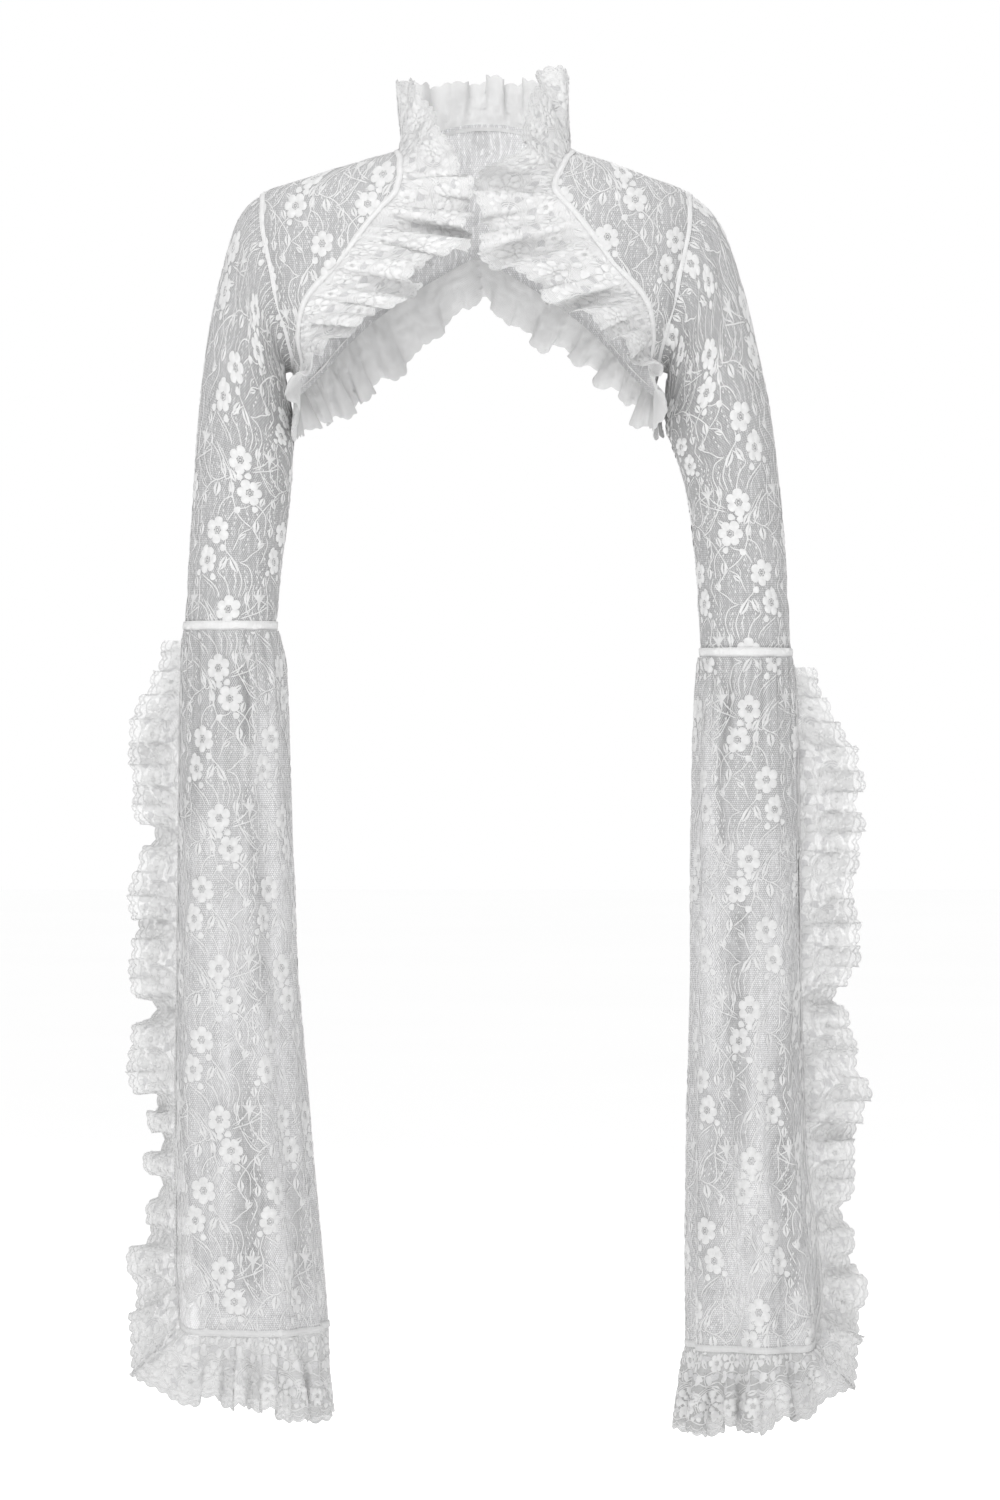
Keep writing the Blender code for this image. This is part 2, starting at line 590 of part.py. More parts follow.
def bell_ruffle_place(side, share):
    """Base, direction, reach and wave height of a bell's ruffle along its edge."""

    def plain_edge(place):
        around, fall = bell_edge_place(side, min(max(place, 0.0), 1.0))
        return bell_point(side, fall, around, folded=False)

    around, fall = bell_edge_place(side, share)
    run = (plain_edge(share + EDGE_STEP) - plain_edge(share - EDGE_STEP)).normalized()
    here = plain_edge(share)
    middle = (along(BELLS[side], "share", "outer", fall) + along(BELLS[side], "share", "inner", fall)) / 2
    outward = Vector((here.x - middle, here.y, 0.0)).normalized()
    tangent = outward.cross(run).normalized()

    def at(column):
        return along(BELL_EDGES[side], "share", column, share)

    turn = radians(at("turn"))
    away = (tangent * cos(turn) + outward * sin(turn)).normalized()
    base = bell_point(side, fall, around) + tangent * at("inset")
    taper = BELL_TAPER_START + (1 - BELL_TAPER_START) * ease(min(share, 1 - share) / BELL_TAPER)
    return base, away, at("reach") * taper, BELL_SWELL * taper


def ruffle_grid(place, first, last, wave_length):
    """Gathered strip on an edge: flat at its seam, waved at its free edge."""
    columns = round(abs(last - first) / wave_length * COLUMNS_PER_WAVE)
    runs = [first + (last - first) * n / columns for n in range(columns + 1)]
    spots = [place(run) for run in runs]
    grid = [[] for _ in range(RUFFLE_ROWS + 1)]
    for number, (base, away, reach, swell) in enumerate(spots):
        before = spots[max(number - 1, 0)][0]
        after = spots[min(number + 1, columns)][0]
        normal = (after - before).normalized().cross(away).normalized()
        wave = runs[number] / wave_length
        height = swell * (1 + 0.22 * sin(2.3 * wave + 0.7))
        height *= sin(2 * pi * wave + 0.5 * sin(1.7 * wave))
        for row in range(RUFFLE_ROWS + 1):
            across = row / RUFFLE_ROWS
            grid[row].append(base + away * reach * across + normal * height * across**0.8)
    return grid


def settled(point):
    """The point as worn, with the neck moved to the wearer's left."""
    shift = NECK_SHIFT * ease(1 + point.z / NECK_SHIFT_DROP)
    return Vector((point.x + shift, point.y, point.z))


def cloth(jacket, name, grid, closed=False):
    """Make a wall of cloth of even thickness from a grid of points on its middle surface."""
    columns = len(grid[0])
    points = [settled(point) for row in grid for point in row]
    faces = []
    for row in range(len(grid) - 1):
        for column in range(columns if closed else columns - 1):
            right = (column + 1) % columns
            faces.append((
                row * columns + column,
                row * columns + right,
                (row + 1) * columns + right,
                (row + 1) * columns + column,
            ))
    mesh = bpy.data.meshes.new(name)
    mesh.from_pydata(points, [], faces)
    mesh.shade_smooth()
    mesh.set_sharp_from_angle(angle=radians(50))
    piece = bpy.data.objects.new(name, mesh)
    jacket.objects.link(piece)
    wall = piece.modifiers.new("wall", "SOLIDIFY")
    wall.thickness = WALL
    wall.offset = 0.0
    material = bpy.data.materials.new(name + "_lace")
    material.use_nodes = True
    shader = material.node_tree.nodes["Principled BSDF"]
    shader.inputs["Base Color"].default_value = LACE
    shader.inputs["Roughness"].default_value = LACE_ROUGHNESS
    mesh.materials.append(material)
    return piece


def make_body(jacket):
    """Back and front panels."""
    cloth(jacket, "back", back_grid())
    for side, sign in SIGN.items():
        cloth(jacket, "front_" + side, mirrored(front_grid(), sign))


def make_body_ruffles(jacket):
    """Standing collar, front frills and the frill of the back hem."""
    neck = NECK_RUN
    side = NECK_RUN + FRONT_RUN
    join = RUFFLE_JOIN
    cloth(jacket, "collar_ruffle", ruffle_grid(body_ruffle_place, join - neck, neck - join, BODY_WAVE))
    for name, sign in SIGN.items():
        first = sign * (neck + join)
        last = sign * (side - join)
        grid = ruffle_grid(body_ruffle_place, min(first, last), max(first, last), BODY_WAVE)
        cloth(jacket, "front_ruffle_" + name, grid)
    right = ruffle_grid(body_ruffle_place, -LOOP_RUN, -side - join, BODY_WAVE)
    left = ruffle_grid(body_ruffle_place, side + join, LOOP_RUN, BODY_WAVE)
    whole = [from_side + from_centre[1:] for from_side, from_centre in zip(left, right)]
    cloth(jacket, "hem_ruffle", whole)


def make_sleeve(jacket, side):
    """Fitted upper and lower sleeve with the band over the elbow seam."""
    sign = SIGN[side]
    elbow = ELBOW_REACH[side]
    hem = ARMS[side][-1].reach
    upper = arm_grid(side, 0.0, elbow, UPPER_SLEEVE_RINGS, crowding=ARMHOLE_CROWDING)
    upper = inset(upper, before=SEAM_INSET, after=SEAM_INSET / 2)
    for turn in range(2 * ARMHOLE_STEPS):
        low = (1 - cos(pi * turn / ARMHOLE_STEPS)) / 2
        upper[0][turn] = drawn(upper[0][turn], upper[1][turn], UNDERARM_INSET * low**3)
    cloth(jacket, "upper_sleeve_" + side, mirrored(upper, sign), closed=True)
    lower = arm_grid(side, elbow, hem, LOWER_SLEEVE_RINGS)
    cloth(jacket, "lower_sleeve_" + side, mirrored(inset(lower, before=SEAM_INSET / 2), sign), closed=True)
    half_band = ELBOW_BAND_HEIGHT / 2
    band = arm_grid(side, elbow - half_band, elbow + half_band, 1, proud=WALL + 0.0004)
    cloth(jacket, "elbow_band_" + side, mirrored(band, sign), closed=True)


def make_bell(jacket, side):
    """Slit bell and the ruffle round its free edge."""
    sign = SIGN[side]
    cloth(jacket, "bell_" + side, mirrored(bell_grid(side), sign))

    def place(share):
        return bell_ruffle_place(side, share)

    grid = ruffle_grid(place, BELL_RUFFLE_START, 1 - BELL_RUFFLE_START, 1 / BELL_WAVES)
    cloth(jacket, "bell_ruffle_" + side, mirrored(grid, sign))


def main():
    jacket = start_scene()
    make_body(jacket)
    make_body_ruffles(jacket)
    for side in SIGN:
        make_sleeve(jacket, side)
        make_bell(jacket, side)


main()
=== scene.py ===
"""Lace bolero jacket: sheer net sheets, raised floral lace, corded ruffles and seam tapes.

Run as a script. Metres, +Z up, front towards -Y, the wearer's right at -X. Every sheet is laid out
from the jacket's own sizes, carries its cut layout as the UV map "cut", and is dressed by draping
a flat lace repeat over it.
"""

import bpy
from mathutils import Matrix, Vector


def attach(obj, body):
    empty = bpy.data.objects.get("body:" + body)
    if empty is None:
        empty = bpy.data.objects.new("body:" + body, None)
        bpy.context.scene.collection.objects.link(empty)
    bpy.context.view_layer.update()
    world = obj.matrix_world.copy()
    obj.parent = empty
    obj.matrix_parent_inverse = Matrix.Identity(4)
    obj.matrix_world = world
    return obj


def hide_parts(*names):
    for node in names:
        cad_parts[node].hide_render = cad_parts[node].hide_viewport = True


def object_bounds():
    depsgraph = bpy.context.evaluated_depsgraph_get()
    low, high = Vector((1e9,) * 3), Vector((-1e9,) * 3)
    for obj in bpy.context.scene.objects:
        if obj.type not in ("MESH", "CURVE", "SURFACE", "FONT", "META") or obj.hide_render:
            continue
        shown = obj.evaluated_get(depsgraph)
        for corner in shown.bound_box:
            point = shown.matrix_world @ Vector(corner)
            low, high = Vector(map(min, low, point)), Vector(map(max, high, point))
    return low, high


bl_info = {
    "name": "Lace Bolero Jacket",
    "version": (1, 0, 0),
    "blender": (4, 5, 0),
    "location": "3D View > Sidebar > Bolero",
    "description": "Builds the lace, ruffles and seams of a bolero jacket",
    "category": "Add Mesh",
}

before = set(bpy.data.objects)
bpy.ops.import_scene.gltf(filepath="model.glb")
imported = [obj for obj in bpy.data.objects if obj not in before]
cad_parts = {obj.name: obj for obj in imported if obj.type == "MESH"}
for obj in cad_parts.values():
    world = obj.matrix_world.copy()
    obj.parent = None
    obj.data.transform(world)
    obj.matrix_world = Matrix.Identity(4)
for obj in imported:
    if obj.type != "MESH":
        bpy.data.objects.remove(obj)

from collections import namedtuple
from math import ceil, cos, floor, pi, radians, sin

import bpy
import numpy as np
from bpy.props import FloatProperty, FloatVectorProperty, PointerProperty
from bpy.types import Operator, Panel, PropertyGroup
from mathutils import Vector

CAD_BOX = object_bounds()
SIGN = {"right": -1, "left": 1}


def table(kind, *rows):
    """Rows of one kind, each by its named columns."""
    return tuple(kind(*row) for row in rows)


# Body cut
ROUNDNESS = 2.3
SHOULDER_TIP_DROP = 0.041
UNDERARM_DROP = 0.192
SIDE_HEM_DROP = 0.214
BACK_NECK_RISE = 0.026
BACK_HEM_DROP = 0.0875
BACK_HEM_CURVE = 1.12
ARMHOLE_BITE = 0.10
ARMHOLE_ROUNDING = 1.5
ARMHOLE_FADE = 0.09

# Half loop of the body ruffle: neck, front edge and hem, each by its seam length
NECK_RUN = 0.105
FRONT_RUN = 0.330
HEM_RUN = 0.220
LOOP_RUN = NECK_RUN + FRONT_RUN + HEM_RUN
BODY_WAVE = 0.030

# Sleeves and bells
ELBOW_BAND_HEIGHT = 0.008
GATHERS = 9
BELL_WAVES = 44
BELL_SWELL = 0.0095
BELL_TAPER = 0.06
BELL_TAPER_START = 0.35
SLIT_SHARE = 0.33
BELL_RUFFLE_START = 0.005
EDGE_STEP = 0.004

BodyLevel = namedtuple("BodyLevel", "drop half_width front back")
BODY = (
    BodyLevel(drop=-0.030, half_width=0.0720, front=0.050, back=0.058),
    BodyLevel(drop=-0.022, half_width=0.0720, front=0.052, back=0.062),
    BodyLevel(drop=0.000, half_width=0.0720, front=0.058, back=0.070),
    BodyLevel(drop=0.012, half_width=0.1060, front=0.064, back=0.077),
    BodyLevel(drop=0.026, half_width=0.1470, front=0.072, back=0.086),
    BodyLevel(drop=0.041, half_width=0.1850, front=0.080, back=0.094),
    BodyLevel(drop=0.079, half_width=0.1980, front=0.098, back=0.103),
    BodyLevel(drop=0.123, half_width=0.1920, front=0.112, back=0.106),
    BodyLevel(drop=0.166, half_width=0.1730, front=0.116, back=0.105),
    BodyLevel(drop=0.192, half_width=0.1590, front=0.114, back=0.103),
    BodyLevel(drop=0.214, half_width=0.1545, front=0.110, back=0.101),
    BodyLevel(drop=0.260, half_width=0.1540, front=0.106, back=0.100),
)

# Seam between a front panel and its ruffle, from the neck point to the side seam; its angle, in
# degrees, goes round the body form from the side
SeamPlace = namedtuple("SeamPlace", "share angle drop")
FRONT_SEAM = (
    SeamPlace(share=0.00, angle=0.0, drop=0.000),
    SeamPlace(share=0.14, angle=52.0, drop=0.012),
    SeamPlace(share=0.27, angle=72.3, drop=0.041),
    SeamPlace(share=0.34, angle=68.9, drop=0.058),
    SeamPlace(share=0.51, angle=58.1, drop=0.101),
    SeamPlace(share=0.66, angle=41.0, drop=0.140),
    SeamPlace(share=0.78, angle=29.5, drop=0.172),
    SeamPlace(share=0.88, angle=21.5, drop=0.196),
    SeamPlace(share=1.00, angle=0.0, drop=0.214),
)

# Free edge of the body ruffle along its half loop, where it lies when worn, and its wave height
RuffleStation = namedtuple("RuffleStation", "run out back drop swell")
BODY_RUFFLE = {
    "right": table(
        RuffleStation,
        (0.000, -0.0010, 0.092, -0.0660, 0.0060),
        (0.055, 0.0570, 0.062, -0.0580, 0.0060),
        (0.105, 0.0720, -0.006, -0.0545, 0.0055),
        (0.125, 0.0600, -0.038, -0.0470, 0.0055),
        (0.140, 0.0470, -0.072, -0.0320, 0.0050),
        (0.152, 0.0380, -0.089, -0.0090, 0.0050),
        (0.163, 0.0270, -0.096, 0.0080, 0.0050),
        (0.174, 0.0260, -0.098, 0.0200, 0.0050),
        (0.185, 0.0115, -0.090, 0.0350, 0.0060),
        (0.197, 0.0032, -0.088, 0.0510, 0.0070),
        (0.215, 0.0075, -0.096, 0.0700, 0.0080),
        (0.235, 0.0120, -0.102, 0.0870, 0.0085),
        (0.255, 0.0300, -0.106, 0.1010, 0.0085),
        (0.272, 0.0500, -0.118, 0.1120, 0.0085),
        (0.290, 0.0530, -0.108, 0.1260, 0.0070),
        (0.310, 0.0700, -0.104, 0.1400, 0.0060),
        (0.330, 0.0880, -0.110, 0.1510, 0.0055),
        (0.345, 0.1040, -0.110, 0.1600, 0.0055),
        (0.360, 0.1210, -0.104, 0.1720, 0.0055),
        (0.380, 0.1400, -0.104, 0.1900, 0.0050),
        (0.410, 0.1570, -0.072, 0.2250, 0.0040),
        (0.435, 0.1540, -0.012, 0.2510, 0.0035),
        (0.455, 0.1480, 0.036, 0.2420, 0.0050),
        (0.490, 0.1360, 0.089, 0.2330, 0.0060),
        (0.515, 0.1270, 0.104, 0.2320, 0.0065),
        (0.535, 0.1150, 0.115, 0.2220, 0.0065),
        (0.555, 0.1020, 0.118, 0.2150, 0.0065),
        (0.575, 0.0850, 0.131, 0.1970, 0.0065),
        (0.595, 0.0670, 0.137, 0.1820, 0.0065),
        (0.615, 0.0470, 0.145, 0.1630, 0.0065),
        (0.635, 0.0250, 0.147, 0.1460, 0.0065),
        (0.655, -0.0030, 0.155, 0.1160, 0.0060),
    ),
    "left": table(
        RuffleStation,
        (0.000, 0.0010, 0.092, -0.0660, 0.0060),
        (0.055, 0.0560, 0.062, -0.0620, 0.0060),
        (0.105, 0.0680, -0.006, -0.0600, 0.0055),
        (0.125, 0.0540, -0.040, -0.0600, 0.0055),
        (0.140, 0.0400, -0.056, -0.0430, 0.0055),
        (0.150, 0.0360, -0.082, -0.0250, 0.0050),
        (0.160, 0.0310, -0.097, -0.0050, 0.0050),
        (0.170, 0.0330, -0.104, 0.0110, 0.0050),
        (0.180, 0.0140, -0.092, 0.0220, 0.0055),
        (0.190, 0.0055, -0.087, 0.0380, 0.0065),
        (0.200, 0.0032, -0.088, 0.0510, 0.0070),
        (0.215, 0.0065, -0.096, 0.0730, 0.0080),
        (0.235, 0.0105, -0.103, 0.0920, 0.0085),
        (0.255, 0.0270, -0.107, 0.1120, 0.0085),
        (0.272, 0.0530, -0.117, 0.1250, 0.0085),
        (0.290, 0.0580, -0.110, 0.1330, 0.0085),
        (0.310, 0.0750, -0.106, 0.1420, 0.0085),
        (0.330, 0.1060, -0.112, 0.1600, 0.0080),
        (0.345, 0.1190, -0.113, 0.1720, 0.0075),
        (0.360, 0.1360, -0.103, 0.1860, 0.0065),
        (0.380, 0.1520, -0.104, 0.1960, 0.0050),
        (0.410, 0.1570, -0.080, 0.2160, 0.0045),
        (0.435, 0.1590, -0.014, 0.2490, 0.0035),
        (0.455, 0.1530, 0.034, 0.2400, 0.0040),
        (0.490, 0.1420, 0.092, 0.2310, 0.0060),
        (0.515, 0.1330, 0.112, 0.2140, 0.0065),
        (0.535, 0.1210, 0.124, 0.2030, 0.0065),
        (0.555, 0.1050, 0.133, 0.1900, 0.0065),
        (0.575, 0.0880, 0.141, 0.1760, 0.0065),
        (0.595, 0.0700, 0.147, 0.1640, 0.0065),
        (0.615, 0.0500, 0.149, 0.1560, 0.0065),
        (0.635, 0.0270, 0.150, 0.1410, 0.0065),
        (0.655, 0.0030, 0.155, 0.1160, 0.0060),
    ),
}
# The neck sits a little to the wearer's left of the shoulders' middle
NECK_SHIFT = 0.008
NECK_SHIFT_DROP = 0.045

# Rings of each arm, by the distance along it from the armhole
ArmRing = namedtuple("ArmRing", "reach outer_out outer_drop inner_out inner_drop half_depth back")
ARMS = {
    "right": table(
        ArmRing,
        (0.000, 0.1850, 0.041, 0.1590, 0.192, 0.0530, 0.000),
        (0.012, 0.1970, 0.050, 0.1665, 0.195, 0.0540, 0.000),
        (0.030, 0.2085, 0.068, 0.1640, 0.206, 0.0545, 0.000),
        (0.060, 0.2190, 0.104, 0.1600, 0.222, 0.0540, 0.000),
        (0.105, 0.2300, 0.157, 0.1575, 0.240, 0.0510, 0.000),
        (0.160, 0.2390, 0.226, 0.1585, 0.266, 0.0470, 0.000),
        (0.225, 0.2440, 0.300, 0.1615, 0.310, 0.0440, -0.001),
        (0.280, 0.2480, 0.360, 0.1680, 0.362, 0.0415, -0.002),
        (0.332, 0.2505, 0.413, 0.1735, 0.413, 0.0395, -0.004),
        (0.390, 0.2525, 0.470, 0.1830, 0.470, 0.0360, -0.006),
        (0.450, 0.2535, 0.530, 0.1930, 0.530, 0.0330, -0.009),
        (0.502, 0.2540, 0.582, 0.2000, 0.582, 0.0300, -0.012),
    ),
    "left": table(
        ArmRing,
        (0.000, 0.1850, 0.041, 0.1590, 0.192, 0.0530, 0.000),
        (0.012, 0.1980, 0.050, 0.1668, 0.195, 0.0540, 0.000),
        (0.030, 0.2120, 0.068, 0.1650, 0.206, 0.0545, 0.000),
        (0.060, 0.2260, 0.104, 0.1635, 0.222, 0.0540, 0.000),
        (0.105, 0.2400, 0.160, 0.1640, 0.240, 0.0510, 0.000),
        (0.170, 0.2550, 0.235, 0.1735, 0.268, 0.0470, 0.000),
        (0.237, 0.2635, 0.310, 0.1850, 0.314, 0.0440, -0.001),
        (0.300, 0.2685, 0.375, 0.1910, 0.377, 0.0415, -0.002),
        (0.360, 0.2710, 0.436, 0.1950, 0.436, 0.0395, -0.004),
        (0.414, 0.2730, 0.490, 0.2040, 0.490, 0.0360, -0.006),
        (0.469, 0.2750, 0.545, 0.2145, 0.545, 0.0330, -0.009),
        (0.520, 0.2770, 0.596, 0.2225, 0.596, 0.0300, -0.012),
    ),
}
ELBOW_REACH = {"right": 0.332, "left": 0.360}

# Sections of each bell, by the share of its length; slit and rear_slit are the angles, in degrees
# from its outer line, at which its front and rear edges lie
BellLevel = namedtuple("BellLevel", "share outer inner front rear back slit rear_slit gather fold")
BELLS = {
    "right": table(
        BellLevel,
        (0.00, 0.2530, 0.1712, 0.0420, 0.0420, -0.004, 6.0, 6.0, 0.0010, 0.00),
        (0.06, 0.2545, 0.1660, 0.0480, 0.0470, -0.004, 10.0, 12.0, 0.0022, 0.08),
        (0.20, 0.2565, 0.1640, 0.0540, 0.0560, -0.003, 13.0, 18.0, 0.0026, 0.25),
        (0.45, 0.2585, 0.1600, 0.0620, 0.0680, 0.000, 14.0, 26.0, 0.0012, 0.60),
        (0.70, 0.2605, 0.1520, 0.0700, 0.0780, 0.000, 14.0, 36.0, 0.0004, 0.85),
        (0.88, 0.2600, 0.1430, 0.0760, 0.0850, 0.000, 14.0, 44.0, 0.0000, 0.95),
        (1.00, 0.2610, 0.1370, 0.0800, 0.0900, 0.000, 14.0, 48.0, 0.0000, 1.00),
    ),
    "left": table(
        BellLevel,
        (0.00, 0.2735, 0.1927, 0.0420, 0.0420, -0.004, 6.0, 6.0, 0.0010, 0.00),
        (0.06, 0.2765, 0.1915, 0.0480, 0.0470, -0.004, 11.0, 12.0, 0.0022, 0.08),
        (0.20, 0.2795, 0.1905, 0.0540, 0.0560, -0.003, 15.0, 17.0, 0.0026, 0.25),
        (0.45, 0.2815, 0.1900, 0.0620, 0.0680, 0.000, 17.0, 22.0, 0.0012, 0.60),
        (0.70, 0.2855, 0.1885, 0.0700, 0.0780, 0.000, 18.0, 27.0, 0.0004, 0.85),
        (0.88, 0.2990, 0.1880, 0.0760, 0.0850, 0.000, 20.0, 31.0, 0.0000, 0.95),
        (1.00, 0.3040, 0.1890, 0.0800, 0.0900, 0.000, 22.0, 34.0, 0.0000, 1.00),
    ),
}
BELL_TOP = {side: ARMS[side][8].outer_drop + ELBOW_BAND_HEIGHT / 2 for side in ARMS}
BELL_HEM = {"right": 1.020, "left": 1.034}

# Main folds of a bell, in degrees round from the slit over the front; depth is at the hem
Fold = namedtuple("Fold", "angle drift width depth")
FOLDS = {
    "right": (
        Fold(angle=52, drift=-4, width=24, depth=0.010),
        Fold(angle=100, drift=16, width=30, depth=0.014),
        Fold(angle=150, drift=4, width=24, depth=0.009),
        Fold(angle=196, drift=2, width=26, depth=0.012),
        Fold(angle=238, drift=-4, width=24, depth=0.010),
        Fold(angle=282, drift=2, width=30, depth=0.014),
        Fold(angle=324, drift=4, width=22, depth=0.009),
    ),
    "left": (
        Fold(angle=54, drift=2, width=20, depth=0.009),
        Fold(angle=94, drift=-4, width=24, depth=0.012),
        Fold(angle=128, drift=10, width=26, depth=0.014),
        Fold(angle=176, drift=2, width=24, depth=0.008),
        Fold(angle=222, drift=-4, width=28, depth=0.012),
        Fold(angle=270, drift=4, width=28, depth=0.013),
        Fold(angle=316, drift=2, width=24, depth=0.010),
    ),
}
# Rounded corners of a bell's hem, as shares of its length and of its way round
BellCorner = namedtuple("BellCorner", "rise width")
BELL_CORNERS = {"right": BellCorner(rise=0.090, width=0.14), "left": BellCorner(rise=0.075, width=0.13)}

# A bell's ruffle along its free edge, down the front slit, round the hem and up the rear slit: how
# far it stands out from the bell's own surface, in degrees, its reach and its seam's inset
BellEdge = namedtuple("BellEdge", "share turn reach inset")
BELL_EDGES = {
    "right": table(
        BellEdge,
        (0.000, 60, 0.042, 0.0015),
        (0.023, 60, 0.042, 0.0015),
        (0.045, 76, 0.043, 0.0015),
        (0.070, 72, 0.041, 0.0015),
        (0.088, 60, 0.038, 0.0015),
        (0.108, 30, 0.034, 0.0015),
        (0.137, 72, 0.040, 0.0015),
        (0.150, 52, 0.037, 0.0015),
        (0.171, 72, 0.040, 0.0015),
        (0.196, 30, 0.034, 0.0015),
        (0.212, 66, 0.039, 0.0015),
        (0.227, 62, 0.040, 0.0015),
        (0.242, 26, 0.036, 0.0015),
        (0.260, 12, 0.036, 0.0019),
        (0.295, 14, 0.038, 0.0021),
        (0.318, 28, 0.042, 0.0021),
        (0.340, 42, 0.046, 0.0015),
        (0.370, 30, 0.055, 0.0015),
        (0.410, 12, 0.057, 0.0011),
        (0.450, 3, 0.066, 0.0011),
        (0.490, -2, 0.072, 0.0011),
        (0.590, 8, 0.070, 0.0011),
        (0.630, 40, 0.056, 0.0015),
        (0.660, 98, 0.046, 0.0020),
        (0.700, 116, 0.042, 0.0020),
        (1.000, 116, 0.042, 0.0020),
    ),
    "left": table(
        BellEdge,
        (0.000, 60, 0.046, 0.0015),
        (0.035, 58, 0.048, 0.0015),
        (0.065, 84, 0.053, 0.0015),
        (0.096, 78, 0.051, 0.0015),
        (0.119, 56, 0.046, 0.0015),
        (0.152, 72, 0.049, 0.0015),
        (0.180, 28, 0.038, 0.0015),
        (0.200, 72, 0.044, 0.0015),
        (0.220, 88, 0.055, 0.0015),
        (0.235, 80, 0.052, 0.0015),
        (0.250, 48, 0.042, 0.0015),
        (0.262, 52, 0.042, 0.0019),
        (0.280, 26, 0.036, 0.0021),
        (0.322, 26, 0.038, 0.0022),
        (0.345, 50, 0.040, 0.0019),
        (0.375, 34, 0.052, 0.0015),
        (0.410, 12, 0.062, 0.0011),
        (0.500, -2, 0.068, 0.0011),
        (0.590, 10, 0.066, 0.0011),
        (0.630, 40, 0.054, 0.0015),
        (0.670, 98, 0.048, 0.0020),
        (0.710, 115, 0.046, 0.0020),
        (1.000, 115, 0.046, 0.0020),
    ),
}


# Fineness of the sheets
ROUND_STEPS = 96
PANEL_STEPS = 44
RUFFLE_STEP = 0.0019
RUFFLE_ROWS = 11

# How high a tape lies on its seam, how far it bulges, and its rows
TAPE_RISE = 0.0008
TAPE_CROWN = 0.0005
TAPE_ROWS = 4

GUESSED_GATHERS = 0.15
THREAD_TWIST = 0.0006
RUFFLE_REPEAT_HEIGHT = 0.3
MOTIF_WIDTH = 46.0


def along(rows, key, column, at):
    """Smooth values of a table's column at places along its key, with no overshoot."""
    keys = np.array([getattr(row, key) for row in rows])
    values = np.array([getattr(row, column) for row in rows])
    at = np.clip(at, keys[0], keys[-1])
    first = np.clip(np.searchsorted(keys, at, side="right") - 1, 0, len(keys) - 2)
    steep = np.diff(values) / np.diff(keys)
    product = np.maximum(steep[:-1] * steep[1:], 0.0)
    total = steep[:-1] + steep[1:]
    slope = np.concatenate(([steep[0]], 2 * product / np.where(total == 0, 1.0, total), [steep[-1]]))
    span = keys[first + 1] - keys[first]
    t = (at - keys[first]) / span
    return (
        values[first] * (1 + 2 * t) * (1 - t) ** 2
        + values[first + 1] * (3 - 2 * t) * t * t
        + slope[first] * span * t * (1 - t) ** 2
        + slope[first + 1] * span * (t - 1) * t * t
    )


def ease(value):
    """Smooth step from 0 to 1."""
    value = np.clip(value, 0.0, 1.0)
    return value * value * (3 - 2 * value)


def unit(vectors):
    """Vectors scaled to length 1."""
    return vectors / np.maximum(np.linalg.norm(vectors, axis=-1, keepdims=True), 1e-12)


def points_of(x, y, z):
    """One array of points from their three coordinates."""
    return np.stack(np.broadcast_arrays(x, y, z), axis=-1).astype(float)


def body_point(angle, drop, face):
    """Point of the body form: angle 0 at the side, a right angle at the centre; face -1 front, 1 back."""
    half_width = along(BODY, "drop", "half_width", drop)
    depth = along(BODY, "drop", "front" if face < 0 else "back", drop)
    power = 2 / ROUNDNESS
    across = np.maximum(np.cos(angle), 0.0) ** power
    deep = np.maximum(np.sin(angle), 0.0) ** power
    return points_of(half_width * across, face * depth * deep, -drop)


def body_cut(angle, drop, face):
    """Flat layout of the body form: length round from the centre, and the height."""
    round_from_centre = np.zeros_like(np.asarray(angle, float))
    before = body_point(np.full_like(round_from_centre, pi / 2), drop, face)
    for step in range(1, 33):
        here = body_point(pi / 2 + (angle - pi / 2) * step / 32, drop, face)
        round_from_centre += np.linalg.norm(here - before, axis=-1)
        before = here
    return np.stack((round_from_centre, -np.broadcast_to(drop, round_from_centre.shape)), axis=-1)


def armhole_place(turn):
    """Angle and drop on the body form along half an armhole, turn 0 at the shoulder to pi below."""
    drop = SHOULDER_TIP_DROP + (UNDERARM_DROP - SHOULDER_TIP_DROP) * (1 - np.cos(turn)) / 2
    kept = 1 - ARMHOLE_BITE * np.maximum(np.sin(turn), 0.0) ** ARMHOLE_ROUNDING
    return np.arccos(np.clip(kept ** (ROUNDNESS / 2), -1, 1)), drop


def front_seam_place(share):
    """Angle and drop of the seam between a front panel and its ruffle."""
    return np.radians(along(FRONT_SEAM, "share", "angle", share)), along(FRONT_SEAM, "share", "drop", share)


def back_neck_drop(angle):
    """Drop of the back neck seam, which rises from the neck points to the centre."""
    return -BACK_NECK_RISE * np.sin(angle) ** 2


def back_hem_drop(angle):
    """Drop of the back's arched hem seam."""
    share = np.maximum(np.cos(angle), 0.0) ** (2 / ROUNDNESS)
    return BACK_HEM_DROP + (SIDE_HEM_DROP - BACK_HEM_DROP) * share**BACK_HEM_CURVE


def front_sheet():
    """Front panel from its ruffle seam to the armhole, and its flat layout."""
    share, across = np.meshgrid(np.linspace(0, 1, PANEL_STEPS + 1), np.linspace(0, 1, PANEL_STEPS + 1),
        indexing="ij")
    seam_angle, seam_drop = front_seam_place(share)
    arm_angle, arm_drop = armhole_place(pi * share)
    angle = seam_angle + (arm_angle - seam_angle) * across
    drop = seam_drop + (arm_drop - seam_drop) * across
    return body_point(angle, drop, -1), body_cut(angle, drop, -1)


